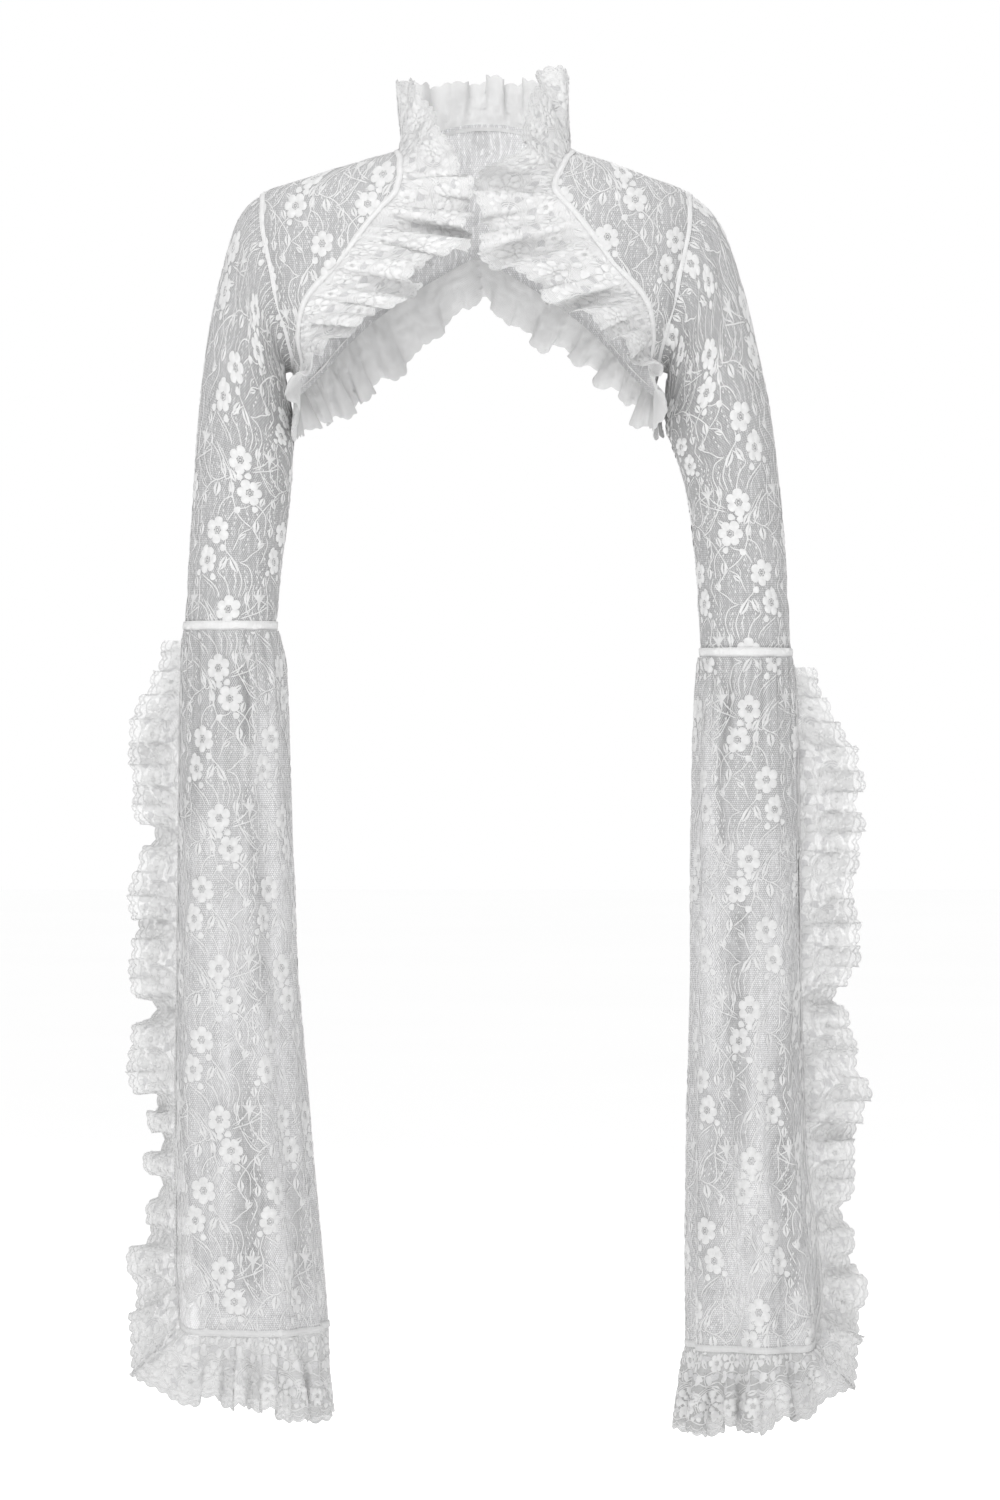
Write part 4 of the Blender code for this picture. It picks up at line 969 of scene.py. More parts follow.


# ---- Flat lace repeats, charted in millimetres ----

class Chart:
    """Flat relief drawn in millimetres: cords, petals, leaves, rings and short stitches."""

    def __init__(self):
        self.points = []
        self.faces = []

    def add(self, points, faces):
        first = len(self.points)
        self.points += [(x / 1000, y / 1000, z / 1000) for x, y, z in points]
        self.faces += [tuple(first + i for i in face) for face in faces]

    def cord(self, path, width, height=0.25, step=2.2, taper=0.35, closed=False):
        """Rounded thread along a smooth path."""
        path = np.array(path, float)
        if closed:
            path = np.vstack((path[-1], path, path[0], path[1]))
        else:
            path = np.vstack((2 * path[0] - path[1], path, 2 * path[-1] - path[-2]))
        line = []
        for before, here, after, last in zip(path[:-3], path[1:-2], path[2:-1], path[3:]):
            pieces = max(int(round(np.linalg.norm(after - here) / step)), 1)
            for n in range(pieces):
                t = n / pieces
                line.append(0.5 * (2 * here + (after - before) * t + (2 * before - 5 * here + 4 * after - last) * t * t
                                   + (3 * here - before - 3 * after + last) * t**3))
        line = np.array(line if closed else line + [path[-2]])
        if closed:
            ahead = np.roll(line, -1, axis=0) - np.roll(line, 1, axis=0)
        else:
            ahead = np.gradient(line, axis=0)
        side = unit(np.stack((-ahead[:, 1], ahead[:, 0]), axis=-1))
        count = len(line)
        half = np.full(count, width / 2)
        if not closed and taper:
            ends = np.minimum(np.arange(count), np.arange(count)[::-1])
            half = np.where(ends == 0, half * taper, half)
        points, faces = [], []
        for spot, out, reach in zip(line, side, half):
            left, right = spot + out * reach, spot - out * reach
            points += [(*left, 0.0), (*spot, height), (*right, 0.0)]
        for n in range(count if closed else count - 1):
            a, b = 3 * n, 3 * ((n + 1) % count)
            faces += [(a, b, b + 1, a + 1), (a + 1, b + 1, b + 2, a + 2)]
        self.add(points, faces)

    def patch(self, outline, middle, edge_height=0.05, height=0.45, rings=1):
        """Filled shape from its outline, rising to its middle."""
        count = len(outline)
        points = []
        for ring in range(rings):
            share = 1 - ring / rings
            lift = edge_height + (height - edge_height) * (1 - share**2)
            points += [(middle[0] + (x - middle[0]) * share, middle[1] + (y - middle[1]) * share, lift) for x,
                y in outline]
        points.append((*middle, height))
        faces = []
        for ring in range(rings - 1):
            for n in range(count):
                a, b = ring * count + n, ring * count + (n + 1) % count
                faces.append((a, b, b + count, a + count))
        last = (rings - 1) * count
        faces += [(last + n, last + (n + 1) % count, rings * count) for n in range(count)]
        self.add(points, faces)

    def petal(self, root, angle, length, width, height=0.45, rings=1):
        """Rounded petal, high in its middle."""
        c, s = cos(radians(angle)), sin(radians(angle))
        outline = [(0.0, 0.13), (0.26, 0.36), (0.55, 0.50), (0.80, 0.44), (0.95, 0.25), (1.0, 0.0)]
        outline += [(x, -y) for x, y in outline[-2::-1]]
        placed = [(root[0] + c * x * length - s * y * width, root[1] + s * x * length + c * y * width) for x,
            y in outline[::-1]]
        self.patch(placed, (root[0] + c * 0.58 * length, root[1] + s * 0.58 * length), 0.05, height, rings)

    def oval(self, centre, wide, high, angle, waver=0.0, rings=4, sides=14):
        """Flat oval, a little uneven."""
        c, s = cos(radians(angle)), sin(radians(angle))
        outline = []
        for n in range(sides):
            turn = 2 * pi * n / sides
            swell = 1 + waver * sin(3 * turn + centre[0])
            x, y = wide / 2 * swell * cos(turn), high / 2 * swell * sin(turn)
            outline.append((centre[0] + c * x - s * y, centre[1] + s * x + c * y))
        self.patch(outline, centre, 0.0, 0.0, rings)

    def ring(self, centre, radius, width, height=0.5, sides=10, squeeze=1.0, angle=0.0):
        """Raised ring with an open eye."""
        turn = radians(angle)
        path = []
        for n in range(sides):
            x, y = radius * cos(2 * pi * n / sides), radius * squeeze * sin(2 * pi * n / sides)
            path.append((centre[0] + x * cos(turn) - y * sin(turn), centre[1] + x * sin(turn) + y * cos(turn)))
        self.cord(path, width, height, step=99.0, closed=True)

    def flower(self, centre, radius, turn, petals=6, eye=3.5, squeeze=1.0, rings=2):
        """Open flower of knobby petals round an eyelet with a bead."""
        first = len(self.points)
        for n in range(petals):
            angle = turn + 360 * n / petals
            c, s = cos(radians(angle)), sin(radians(angle))
            size = radius * (1 + 0.06 * sin(2.1 * n + turn))
            root = (centre[0] + c * eye * 0.86, centre[1] + s * eye * 0.86)
            self.petal(root, angle, size - eye * 0.86, 1.46 * size * sin(pi / petals), 0.75, rings=rings)
        self.ring(centre, radius * 0.50, radius * 0.36, 0.42, sides=12)
        self.ring(centre, eye * 0.74, 0.8, 0.7, sides=8, squeeze=0.85, angle=turn)
        self.petal((centre[0] - 0.9, centre[1]), 0, 1.8, 1.2, 0.4)
        for n in range(first, len(self.points)):
            x, y, z = self.points[n]
            self.points[n] = (centre[0] / 1000 + (x - centre[0] / 1000) * squeeze, y, z)

    def leaf(self, root, angle, length, width, height=0.35):
        """Pointed leaf in two halves with an open midrib."""
        c, s = cos(radians(angle)), sin(radians(angle))

        def at(x, y, z):
            return (root[0] + c * x * length - s * y * width, root[1] + s * x * length + c * y * width, z)

        for side in (1, -1):
            points = [at(0.0, side * 0.05, 0.0), at(0.28, side * 0.42, 0.0), at(0.55, side * 0.5, 0.0),
                at(0.82, side * 0.28, 0.0),
                      at(1.0, 0.0, 0.0), at(0.5, side * 0.09, height)]
            order = [(0, 5, 1), (1, 5, 2), (2, 5, 3), (3, 5, 4)]
            self.add(points, order if side > 0 else [f[::-1] for f in order])

    def dash(self, spot, angle, length=2.4, width=1.0, height=0.3):
        """One short stitch."""
        c, s = cos(radians(angle)), sin(radians(angle))
        half, side = length / 2, width / 2
        points = [(spot[0] - c * half, spot[1] - s * half, 0.0),
            (spot[0] + s * side, spot[1] - c * side, height / 2),
                  (spot[0] + c * half, spot[1] + s * half, 0.0),
                  (spot[0] - s * side, spot[1] + c * side, height)]
        self.add(points, [(0, 1, 2, 3)])

    def dashes(self, path, spacing=4.6, length=2.4, width=1.0):
        """Row of short stitches along a path."""
        path = np.array(path, float)
        steps = np.linalg.norm(np.diff(path, axis=0), axis=1)
        run = np.concatenate(([0], np.cumsum(steps)))
        for spot in np.arange(spacing / 2, run[-1], spacing):
            x, y = np.interp(spot, run, path[:, 0]), np.interp(spot, run, path[:, 1])
            ahead = path[min(np.searchsorted(run, spot),
                len(path) - 1)] - path[max(np.searchsorted(run, spot) - 1, 0)]
            self.dash((x, y), np.degrees(np.arctan2(ahead[1], ahead[0])), length, width)

    def made(self, name):
        """The chart as an object, to be laid over a sheet."""
        mesh = bpy.data.meshes.new(name)
        mesh.from_pydata(self.points, [], self.faces)
        mesh.validate()
        mesh.shade_smooth()
        repeat = bpy.data.objects.new(name, mesh)
        bpy.context.scene.collection.objects.link(repeat)
        return repeat


def floral_chart(width, height):
    """All-over lace: pairs of six-petalled flowers, leafy branches and rows of short stitches."""
    chart = Chart()
    if width < 0.06 or height < 0.12:
        raise ValueError("the floral repeat is charted for at least 60 by 120 mm")
    for centre, radius, turn, squeeze in (
        ((38.5, 127), 11.6, 90, 0.96), ((48.5, 100.5), 11.4, 62, 1.0), ((23, 66.5), 11.6, 88, 0.95),
        ((15.5, 41), 11.0, 70, 0.88),
    ):
        chart.flower(centre, radius, turn, squeeze=squeeze)
    for x, y, turn, size in ((37, 115.5, -60, 6.2), (43, 113.5, 20, 6.4), (52, 88.5, -50, 6.0),
        (41, 87, 230, 6.4),
                             (28, 54.5, 300, 6.2), (14, 54, 250, 6.4), (21.5, 30, 280, 6.0),
                             (8.5, 33, 235, 5.6)):
        chart.petal((x, y), turn, size, size * 0.95, 0.4)
    long_stems = (
        ((14, 137), (25, 122), (30.5, 114), (34, 96), (37.5, 85), (43, 77), (53, 69.5)),
        ((10, 140), (9.5, 126), (10, 112), (18, 107), (28.5, 112)),
        ((34, 96), (27.5, 92.5), (23.5, 86), (22, 78)),
        ((31, 74.5), (37.5, 84.5), (46, 87), (50, 90)),
        ((51, 93), (61.5, 85), (65.5, 77), (65, 62)),
        ((53, 69.5), (44, 64), (40.5, 55), (38, 49)),
        ((53, 69.5), (61.5, 58.5), (63, 52), (56, 47), (50, 41), (45, 39.5)),
        ((31, 59), (32, 50), (37.5, 44), (43, 37), (47, 28), (48.5, 21), (46, 9)),
        ((37.5, 44), (29, 36), (27, 31), (34, 24), (38, 14), (38.5, 9)),
        ((45, 39.5), (54, 35), (57.5, 24), (56, 16), (54, 8), (57, -3), (52.5, -6)),
        ((11, 29), (21, 22), (27.5, 15.5), (30, 9)),
        ((10, 29), (7, 18.5), (9, 6.5), (1, -2), (3.5, -11), (13, -22)),
        ((9, 6.5), (17.5, 0), (21, -6.5), (27, -19), (33, -14)),
        ((49.5, -6), (59.5, 0), (66, 6.5), (75, 3)),
        ((49.5, 119), (57, 121.5), (66, 124.5), (77, 130)),
        ((57, 121.5), (60.5, 114.5), (68, 103.5), (77, 99)),
        ((77, 99), (69, 94), (61.5, 85), (55, 75), (53, 69.5)),
        ((57, 140), (54, 128), (57, 121.5)), ((65.5, 140), (65, 130), (66, 124.5)),
        ((18, 107), (12, 104), (6, 97), (3, 88), (4, 76), (9, 68)),
        ((2, 62), (5, 54), (2, 46), (-2, 38)),
    )
    for path in long_stems:
        chart.cord(path, 1.05, 0.3, step=2.6)
    # thinner second lines beside some stems
    for path in (
        ((17, 135), (25, 126), (33, 112)), ((60, 119), (66, 109), (74, 101)),
        ((20, 90), (17.5, 82), (19.5, 76)), ((46, 74), (42, 68), (43, 60)),
        ((50, 27), (52, 18), (49, 10)), ((41, 33), (43, 22), (42, 12)), ((13, 25), (23, 17), (26, 10)),
        ((60, 22), (59, 12), (60, 4)),
        ((56, -7), (63, -14), (70, -18)), ((6, 20), (4, 10), (-1, 4)), ((62, 70), (60, 64), (64, 56)),
        ((8, 120), (7, 112), (12, 107)),
        ((13, 98), (9, 92), (8, 84)), ((63, 44), (61, 36), (64, 28)), ((29, 104), (31, 98), (29, 90)),
        ((70, 88), (66, 82), (71, 74)),
    ):
        chart.cord(path, 0.75, 0.22, step=3.6)
    for x, y, angle, length, wide in (
        (20, 106.5, 262, 12.5, 7.5), (31, 109, 286, 12, 5.0), (56.5, 76.5, 272, 11.5, 6.0),
        (42, 59, 40, 9, 4.0), (37, 43, 300, 15, 6.2),
        (33.5, 45, 248, 14, 6.0), (54, 15, 268, 12.5, 5.2), (21.5, -5, 292, 13, 5.6), (30, -10, 300, 12, 5.4),
        (64, 60, 250, 8.5, 4.6),
        (72, 72, 268, 10.5, 5.6), (62, 98, 250, 10, 5.4), (4, 98, 290, 10.5, 5.0), (60, 52, 35, 9, 4.6),
        (4, 28, 272, 10, 4.8),
        (59, 112, 215, 9, 4.2), (66, 18, 262, 10, 4.8),
    ):
        chart.leaf((x, y), angle, length, wide)
    for x, high, low in (
        (15, 131, 112), (24, 118, 104), (18.5, 99, 82), (28, 90, 76), (58, 131, 124), (68, 121, 104),
        (57, 84, 78), (70, 84, 62),
        (48, 84, 74), (37, 80, 60), (49, 62, 46), (58, 64, 56), (33, 38, 22), (24, 26, 14), (52, 34, 14),
        (42, 30, 14), (62, 34, 10),
        (13, 18, 4), (4, 4, -12), (25, -3, -14), (11, -4, -16), (40, -16, -22), (68, 50, 30), (8, 92, 72),
        (61, -2, -14), (5, 118, 104),
        (46, 72, 66), (19, -8, -20), (0, 34, 14), (32, 102, 88),
    ):
        chart.dashes([(x + 1.6 * sin(0.35 * y), y) for y in range(high, low, -2)], spacing=4.9, length=3.6,
            width=1.35)
    # short curling lines that fill the ground
    for n in range(34):
        x, y, lean = (n * 23.7) % width, (n * 41.3) % height, 7 * sin(2.4 * n)
        chart.cord(((x, y), (x + lean * 0.2, y + 6), (x + lean, y + 12)), 0.75, 0.2, step=6)
    return chart.made("floral_repeat")


def ruffle_edge(x, pitch, depth):
    """Height of the scalloped edge, in millimetres."""
    return depth * abs(sin(pi * x / pitch)) ** 0.75


def ruffle_chart(repeat, scallop):
    """Corded lace of the ruffles: wavy cords, a rose, a small flower and leaves; 0 is the free edge."""
    chart = Chart()
    width = repeat * 1000
    count = int(round(repeat / scallop.width))
    pitch, depth = width / count, scallop.depth * 1000
    across = [width * n / (count * 5) for n in range(count * 5 + 1)]
    for below, thick in ((0.7, 1.3), (4.4, 0.9)):
        chart.cord([(x, ruffle_edge(x, pitch, depth) - below) for x in across], thick, 0.4, step=9.0, taper=0)
    chart.cord([(x, -7.0 + 1.3 * sin(2 * pi * x / (2 * pitch) + 0.6 * 7.0)) for x in across], 0.9, 0.35,
        step=4.0, taper=0)
    # the motifs are charted narrower, and drawn out to the repeat's width
    edge_points = len(chart.points)
    drawn_out, width = width / MOTIF_WIDTH, MOTIF_WIDTH
    rose, small = (width * 0.3, -21.0), (width * 0.79, -17.5)
    for n in range(7):
        angle = 360 * n / 7 + 8
        root = (rose[0] + 5.0 * cos(radians(angle)), rose[1] + 5.0 * sin(radians(angle)))
        chart.petal(root, angle, 7.2, 6.7, 0.6, rings=2)
    for n in range(5):
        angle = 72 * n + 30
        root = (rose[0] + 1.5 * cos(radians(angle)), rose[1] + 1.5 * sin(radians(angle)))
        chart.petal(root, angle, 4.4, 4.3, 0.8, rings=2)
    chart.ring(rose, 1.4, 0.9, 0.8, sides=7)
    chart.flower(small, 7.6, 20, petals=5, eye=2.2)
    chart.cord([(rose[0] + 8.9 * cos(radians(a)), rose[1] + 8.2 * sin(radians(a))) for a in range(0, 360, 30)],
        0.8, 0.5, step=9, closed=True)
    for x, y, angle, length in ((width * 0.53, -15, 250, 10), (width * 0.55, -25, 20, 10),
        (width * 0.06, -14, 300, 9),
                                (width * 0.92, -27, 200, 10), (width * 0.70, -30, 160, 9),
                                (width * 0.12, -33, 340, 9)):
        chart.leaf((x, y), angle, length, 4.8, 0.45)
    for path in (
        ((rose[0] + 12, rose[1] + 2), (width * 0.58, -20), (small[0] - 7, small[1] - 3)),
        ((small[0] + 6, small[1] - 3), (width * 0.97, -24), (width * 1.05, -21), (width * 1.06, -14)),
        ((width * 0.02, -36), (width * 0.2, -40), (width * 0.42, -36), (width * 0.6, -39), (width * 0.85, -35),
            (width * 1.02, -36)),
        ((width * 0.02, -46), (width * 0.25, -49), (width * 0.5, -45), (width * 0.75, -49),
            (width * 1.02, -46)),
        ((width * 0.42, -36), (width * 0.47, -42), (width * 0.44, -48)),
        ((width * 0.85, -35), (width * 0.9, -41), (width * 0.86, -47)),
    ):
        chart.cord(path, 1.0, 0.35, step=3.2)
    for n in range(10):
        x = width * (n + 0.5) / 10
        chart.petal((x, -7.4), 268 + 9 * sin(3 * n), 4.4 + sin(2 * n), 3.4, 0.5)
    for x, y, angle, length, wide in ((0.10, -40, 200, 9, 6), (0.34, -37, 285, 9, 6.5), (0.50, -41, 330, 8, 6),
        (0.66, -37, 240, 8, 6), (0.92, -41, 290, 9, 6.5)):
        chart.petal((width * x, y), angle, length, wide, 0.6)
    far = (width * 0.78, -59.0)
    for n in range(7):
        angle = 360 * n / 7 - 10
        chart.petal((far[0] + 4.4 * cos(radians(angle)), far[1] + 4.4 * sin(radians(angle))), angle, 6.6, 6.2,
            0.6)
    chart.ring(far, 3.4, 2.2, 0.6, sides=8)
    for radius in (12.4, 14.2):
        chart.cord([(far[0] + radius * cos(radians(a)),
            far[1] + 0.84 * radius * sin(radians(a))) for a in range(150, 391, 24)], 0.8, 0.3, step=5)
    for radius in (13.0, 14.8, 16.6):
        chart.cord([(rose[0] + radius * cos(radians(a)),
            rose[1] + radius * (0.86 + 0.05 * sin(3 * radians(a))) * sin(radians(a)))
                    for a in range(150, 391, 20)], 0.8, 0.3, step=3.6)
    chart.flower((width * 0.20, -56), 8.0, 0, eye=2.4, rings=1)
    for x, y, angle, length in ((0.42, -51, 300, 10), (0.36, -68, 20, 10), (0.02, -68, 60, 10),
        (0.62, -76, 170, 11), (0.90, -77, 190, 10), (0.25, -80, 150, 11)):
        chart.leaf((width * x, y), angle, length, 5.4, 0.45)
    chart.cord(((width * 0.0, -73), (width * 0.3, -72), (width * 0.6, -75), (width * 1.0, -73)), 1.0, 0.35,
        step=4)
    chart.points[edge_points:] = [(x * drawn_out, y, z) for x, y, z in chart.points[edge_points:]]
    return chart.made("ruffle_repeat")


def opening_chart(repeat, scallop):
    """Open net of the ruffles' lace: the edge's eyelets and the sheer patches between its cords, laid as grey patches
    of painted shade.
    """
    chart = Chart()
    width = repeat * 1000
    count = int(round(repeat / scallop.width))
    pitch, depth = width / count, scallop.depth * 1000
    for n in range(count * 3):
        x = width * (n + 0.5) / (count * 3)
        chart.oval((x, ruffle_edge(x, pitch, depth) - 2.55), 1.25, 1.35, 0, rings=1, sides=6)
    # sheer rings round the rose's hearts, and wide sheer fields between the motifs
    for x, y, wide, high, angle in (
        (0.56, -12.0, 9, 4.5, 20), (0.03, -22, 8, 12, 15), (0.62, -27.5, 14, 6.5, -20), (0.93, -33, 7, 8, 30),
        (0.30, -44.0, 16, 6, 8), (0.74, -44, 12, 6, -12), (0.52, -59, 16, 8, 5),
    ):
        chart.oval((width * x, y), wide * width / MOTIF_WIDTH, high, angle, waver=0.2, rings=3, sides=12)
    return chart.made("opening_repeat")


def stitch_chart(name, pitch, length, width):
    """One short machine stitch."""
    chart = Chart()
    chart.dash((pitch * 500, 0.0), 6, length * 1000, width * 1000, 0.28)
    return chart.made(name)


# ---- Finishes ----

def ranged(tree, value, low, high, to_low, to_high, **settings):
    """A value carried from one range to another."""
    inputs = {"Value": value, 1: low, 2: high, 3: to_low, 4: to_high}
    return group_node(tree, "ShaderNodeMapRange", inputs, **settings).outputs[0]


def worked(tree, operation, *values):
    """Result of one sum."""
    return group_node(tree, "ShaderNodeMath", dict(enumerate(values)), operation=operation).outputs[0]


def mixed(tree, share, first, second):
    """Colour between two others."""
    return group_node(tree, "ShaderNodeMix", {0: share, 6: first, 7: second}, data_type="RGBA").outputs[2]


def scaled(tree, colour, tone):
    """Colour made lighter or darker."""
    return group_node(tree, "ShaderNodeVectorMath", {0: colour, "Scale": tone}, operation="SCALE").outputs[0]


def noise(tree, place, scale, **inputs):
    """Cloudy value between 0 and 1."""
    inputs = {key.title(): value for key, value in inputs.items()}
    return group_node(tree, "ShaderNodeTexNoise", {"Vector": place, "Scale": scale, **inputs}).outputs[0]


def dressed(tree, shader, colour, height, strength, distance, **values):
    """Give a shader its colour, its fine relief and its other values."""
    tree.links.new(colour, shader.inputs["Base Color"])
    bump = group_node(tree, "ShaderNodeBump", {"Height": height, "Strength": strength, "Distance": distance})
    tree.links.new(bump.outputs[0], shader.inputs["Normal"])
    for name, value in values.items():
        shader.inputs[SHADER_INPUTS[name]].default_value = value


SHADER_INPUTS = {
    "roughness": "Roughness", "sheen": "Sheen Weight", "sheen_roughness": "Sheen Roughness",
    "specular": "Specular IOR Level",
}


def net_group():
    """Shader group of a fine net: masks of its threads, its broken lines of stitches and its cloudy tone."""
    tree = bpy.data.node_groups.new("Fine Net", "ShaderNodeTree")
    tree.interface.new_socket("Layout", in_out="INPUT", socket_type="NodeSocketVector")
    for name, value in (("Cell", 0.0016), ("Thread Share", 0.42), ("Waver", 0.25)):
        tree.interface.new_socket(name, in_out="INPUT", socket_type="NodeSocketFloat").default_value = value
    for name in ("Threads", "Runs", "Cloudiness"):
        tree.interface.new_socket(name, in_out="OUTPUT", socket_type="NodeSocketFloat")
    given = tree.nodes.new("NodeGroupInput")

    def maths(operation, first, second=0.0):
        return group_node(tree, "ShaderNodeMath", {0: first, 1: second}, operation=operation).outputs[0]

    layout = given.outputs["Layout"]
    drift = maths("SUBTRACT", noise(tree, layout, 420.0, detail=1.0), 0.5)
    waver = maths("MULTIPLY", maths("MULTIPLY", drift, given.outputs["Waver"]), given.outputs["Cell"])
    parts = group_node(tree, "ShaderNodeSeparateXYZ", {0: layout})
    mask = None
    for angle in (30, 90, 150):
        across = maths("MULTIPLY", parts.outputs[0], cos(radians(angle)))
        line = maths("ADD", across, maths("MULTIPLY", parts.outputs[1], sin(radians(angle))))
        line = maths("DIVIDE", maths("ADD", line, waver), given.outputs["Cell"])
        line = maths("PINGPONG", line, 0.5)
        reach = maths("MULTIPLY", given.outputs["Thread Share"], 0.5)
        thread = ranged(tree, line, 0.0, reach, 1.0, 0.0, interpolation_type="SMOOTHSTEP")
        mask = thread if mask is None else maths("MAXIMUM", mask, thread)
    cloud = noise(tree, layout, 34.0, detail=3.0, roughness=0.6)
    runs = None
    for scale, distortion in ((62.0, 5.0), (39.0, 7.0)):
        inputs = {"Vector": layout, "Scale": scale, "Distortion": distortion, "Detail": 1.0,
            "Detail Scale": 0.9}
        wave = group_node(tree, "ShaderNodeTexWave", inputs, bands_direction="X").outputs[1]
        line = ranged(tree, wave, 0.86, 0.97, 0.0, 1.0)
        runs = line if runs is None else maths("MAXIMUM", runs, line)
    broken = ranged(tree, noise(tree, layout, 260.0, detail=1.0), 0.44, 0.52, 0.0, 1.0)
    runs = maths("MULTIPLY", runs, broken)
    result = tree.nodes.new("NodeGroupOutput")
    for name, value in (("Threads", mask), ("Runs", runs), ("Cloudiness", cloud)):
        tree.links.new(value, result.inputs[name])
    return tree


def started_material(name):
    """New material with its shader and its cut layout."""
    material = bpy.data.materials.new(name)
    material.use_nodes = True
    tree = material.node_tree
    layout = group_node(tree, "ShaderNodeUVMap", uv_map="cut").outputs[0]
    return material, tree, tree.nodes["Principled BSDF"], layout


def net_material(name, hole, thread, open_share, cell=0.0017, shade=0.35, runs=0.0, reverse=None):
    """Sheer net: see-through cells between fine matt threads, with lines of stitches, cloudy tone and painted shade
    from the sheet's shade attribute.
    """
    material, tree, shader, layout = started_material(name)
    group = group_node(tree, "ShaderNodeGroup", node_tree=bpy.data.node_groups.get("Fine Net") or net_group())
    tree.links.new(layout, group.inputs["Layout"])
    group.inputs["Cell"].default_value = cell
    colour = mixed(tree, group.outputs["Threads"], (*hole, 1), (*thread, 1))
    if reverse:
        # the cloth's wrong side is drawn smoother, and painted light makes it paler
        facing = group_node(tree, "ShaderNodeNewGeometry").outputs["Backfacing"]
        inside = mixed(tree, group.outputs["Threads"], (*reverse[0], 1), (*reverse[1], 1))
        colour = mixed(tree, facing, colour, inside)
    drift = ranged(tree, group.outputs["Cloudiness"], 0.3, 0.7, 0.93, 1.05)
    drift = worked(tree, "MULTIPLY_ADD", group.outputs["Runs"], runs, drift)
    # painted shade: the sheet's shade attribute darkens the net, and a negative value paints light
    painted_shade = group_node(tree, "ShaderNodeAttribute", attribute_name="shade").outputs["Fac"]
    tone = worked(tree, "MULTIPLY", drift, worked(tree, "MULTIPLY_ADD", painted_shade, -shade, 1.0))
    tree.links.new(ranged(tree, group.outputs["Threads"], 0.0, 1.0, 1 - open_share, 1.0),
        shader.inputs["Alpha"])
    dressed(tree, shader, scaled(tree, colour, tone), group.outputs["Threads"], 0.35, 0.0003,
            roughness=0.78, sheen=0.25, sheen_roughness=0.5, specular=0.25)
    return material


def thread_material(name, colour):
    """White satin thread, finely twisted, a little uneven in tone."""
    material, tree, shader, layout = started_material(name)
    inputs = {"Vector": layout, "Scale": 0.31 / THREAD_TWIST, "Distortion": 2.0, "Detail": 1.0}
    wave = group_node(tree, "ShaderNodeTexWave", inputs, bands_direction="DIAGONAL").outputs[1]
    tone = ranged(tree, noise(tree, layout, 160.0, detail=2.0), 0.3, 0.7, 0.90, 1.04)
    both = worked(tree, "MULTIPLY", tone, ranged(tree, wave, 0.0, 1.0, 0.92, 1.0))
    dressed(tree, shader, scaled(tree, tuple(colour), both), wave, 0.4, 0.0002,
            roughness=0.55, sheen=0.15, specular=0.35)
    return material


def tape_material(name, colour):
    """Woven cotton tape with a fine rib."""
    material, tree, shader, layout = started_material(name)
    ribs, cross = (
        group_node(tree, "ShaderNodeTexWave", {"Vector": layout, "Scale": scale, "Distortion": 0.4},
                   bands_direction=way).outputs[1]
        for scale, way in ((260.0, "X"), (420.0, "Y"))
    )
    weave = worked(tree, "MULTIPLY", ribs, cross)
    tone = ranged(tree, noise(tree, layout, 120.0, detail=2.0), 0.3, 0.7, 0.92, 1.03)
    both = worked(tree, "MULTIPLY", tone, ranged(tree, weave, 0.0, 1.0, 0.93, 1.0))
    dressed(tree, shader, scaled(tree, tuple(colour), both), weave, 0.5, 0.0003, roughness=0.8, sheen=0.2)
    return material


def made_once(name, maker, *arguments, **settings):
    """A finish that several pieces share."""
    return bpy.data.materials.get(name) or maker(name, *arguments, **settings)


# ---- Sizes and colours that a user would change ----

class LaceSizes(PropertyGroup):
    """Sizes of the lace and its trimmings."""

    repeat_width: FloatProperty(name="Repeat width", description="Width of the floral repeat", default=0.066,
        min=0.06, unit="LENGTH")
    repeat_height: FloatProperty(name="Repeat height", description="Height of the floral repeat",
        default=0.128, min=0.12, unit="LENGTH")
    scallop_width: FloatProperty(name="Scallop width", description="Width of one scallop of a ruffle's edge",
        default=0.0115, unit="LENGTH")
    scallop_depth: FloatProperty(name="Scallop depth", description="How far a scallop stands out",
        default=0.0032, unit="LENGTH")
    scallops_per_rose: FloatProperty(name="Scallops per rose",
        description="Scallops in one repeat of the ruffle lace", default=6.0)
    roll: FloatProperty(name="Ruffle roll",
        description="How far a ruffle's folds roll over, as a share of a wave", default=0.10)
    tape: FloatProperty(name="Tape width", description="Width of the front binding", default=0.0052,
        unit="LENGTH")
    stitch: FloatProperty(name="Stitch pitch", description="Distance from stitch to stitch", default=0.0030,
        unit="LENGTH")


class LaceColours(PropertyGroup):
    """Colours of the net, the threads and the stage."""

    # painted shade: the net's grey holes and threads stand in for the shaded inside seen through the sheer white net
    net_hole: FloatVectorProperty(name="Net shade", description="Tone between the net's threads",
        subtype="COLOR", default=(0.38, 0.38, 0.385))
    net_thread: FloatVectorProperty(name="Net thread", description="Colour of the net's threads",
        subtype="COLOR", default=(0.64, 0.64, 0.645))
    thread: FloatVectorProperty(name="Lace thread", description="Colour of the raised lace", subtype="COLOR",
        default=(0.755, 0.755, 0.755))
    ruffle: FloatVectorProperty(name="Ruffle ground", description="Tone of the ruffles' dense ground",
        subtype="COLOR", default=(0.84, 0.84, 0.84))
    tape: FloatVectorProperty(name="Tape", description="Colour of bindings and bands", subtype="COLOR",
        default=(0.80, 0.80, 0.80))
    floor: FloatVectorProperty(name="Floor", description="Colour of the floor", subtype="COLOR",
        default=(0.93, 0.93, 0.93))


Scallop = namedtuple("Scallop", "width depth")
RuffleFine = namedtuple("RuffleFine", "roll swell lobe")


def lace_sizes():
    """The sizes set in the panel."""
    return bpy.context.scene.lace_sizes


def scallop_of(sizes):
    """Width and depth of one scallop."""
    return Scallop(sizes.scallop_width, sizes.scallop_depth)


def times(share, colour):
    """A colour made lighter or darker by a share."""
    return tuple(share * c for c in colour)


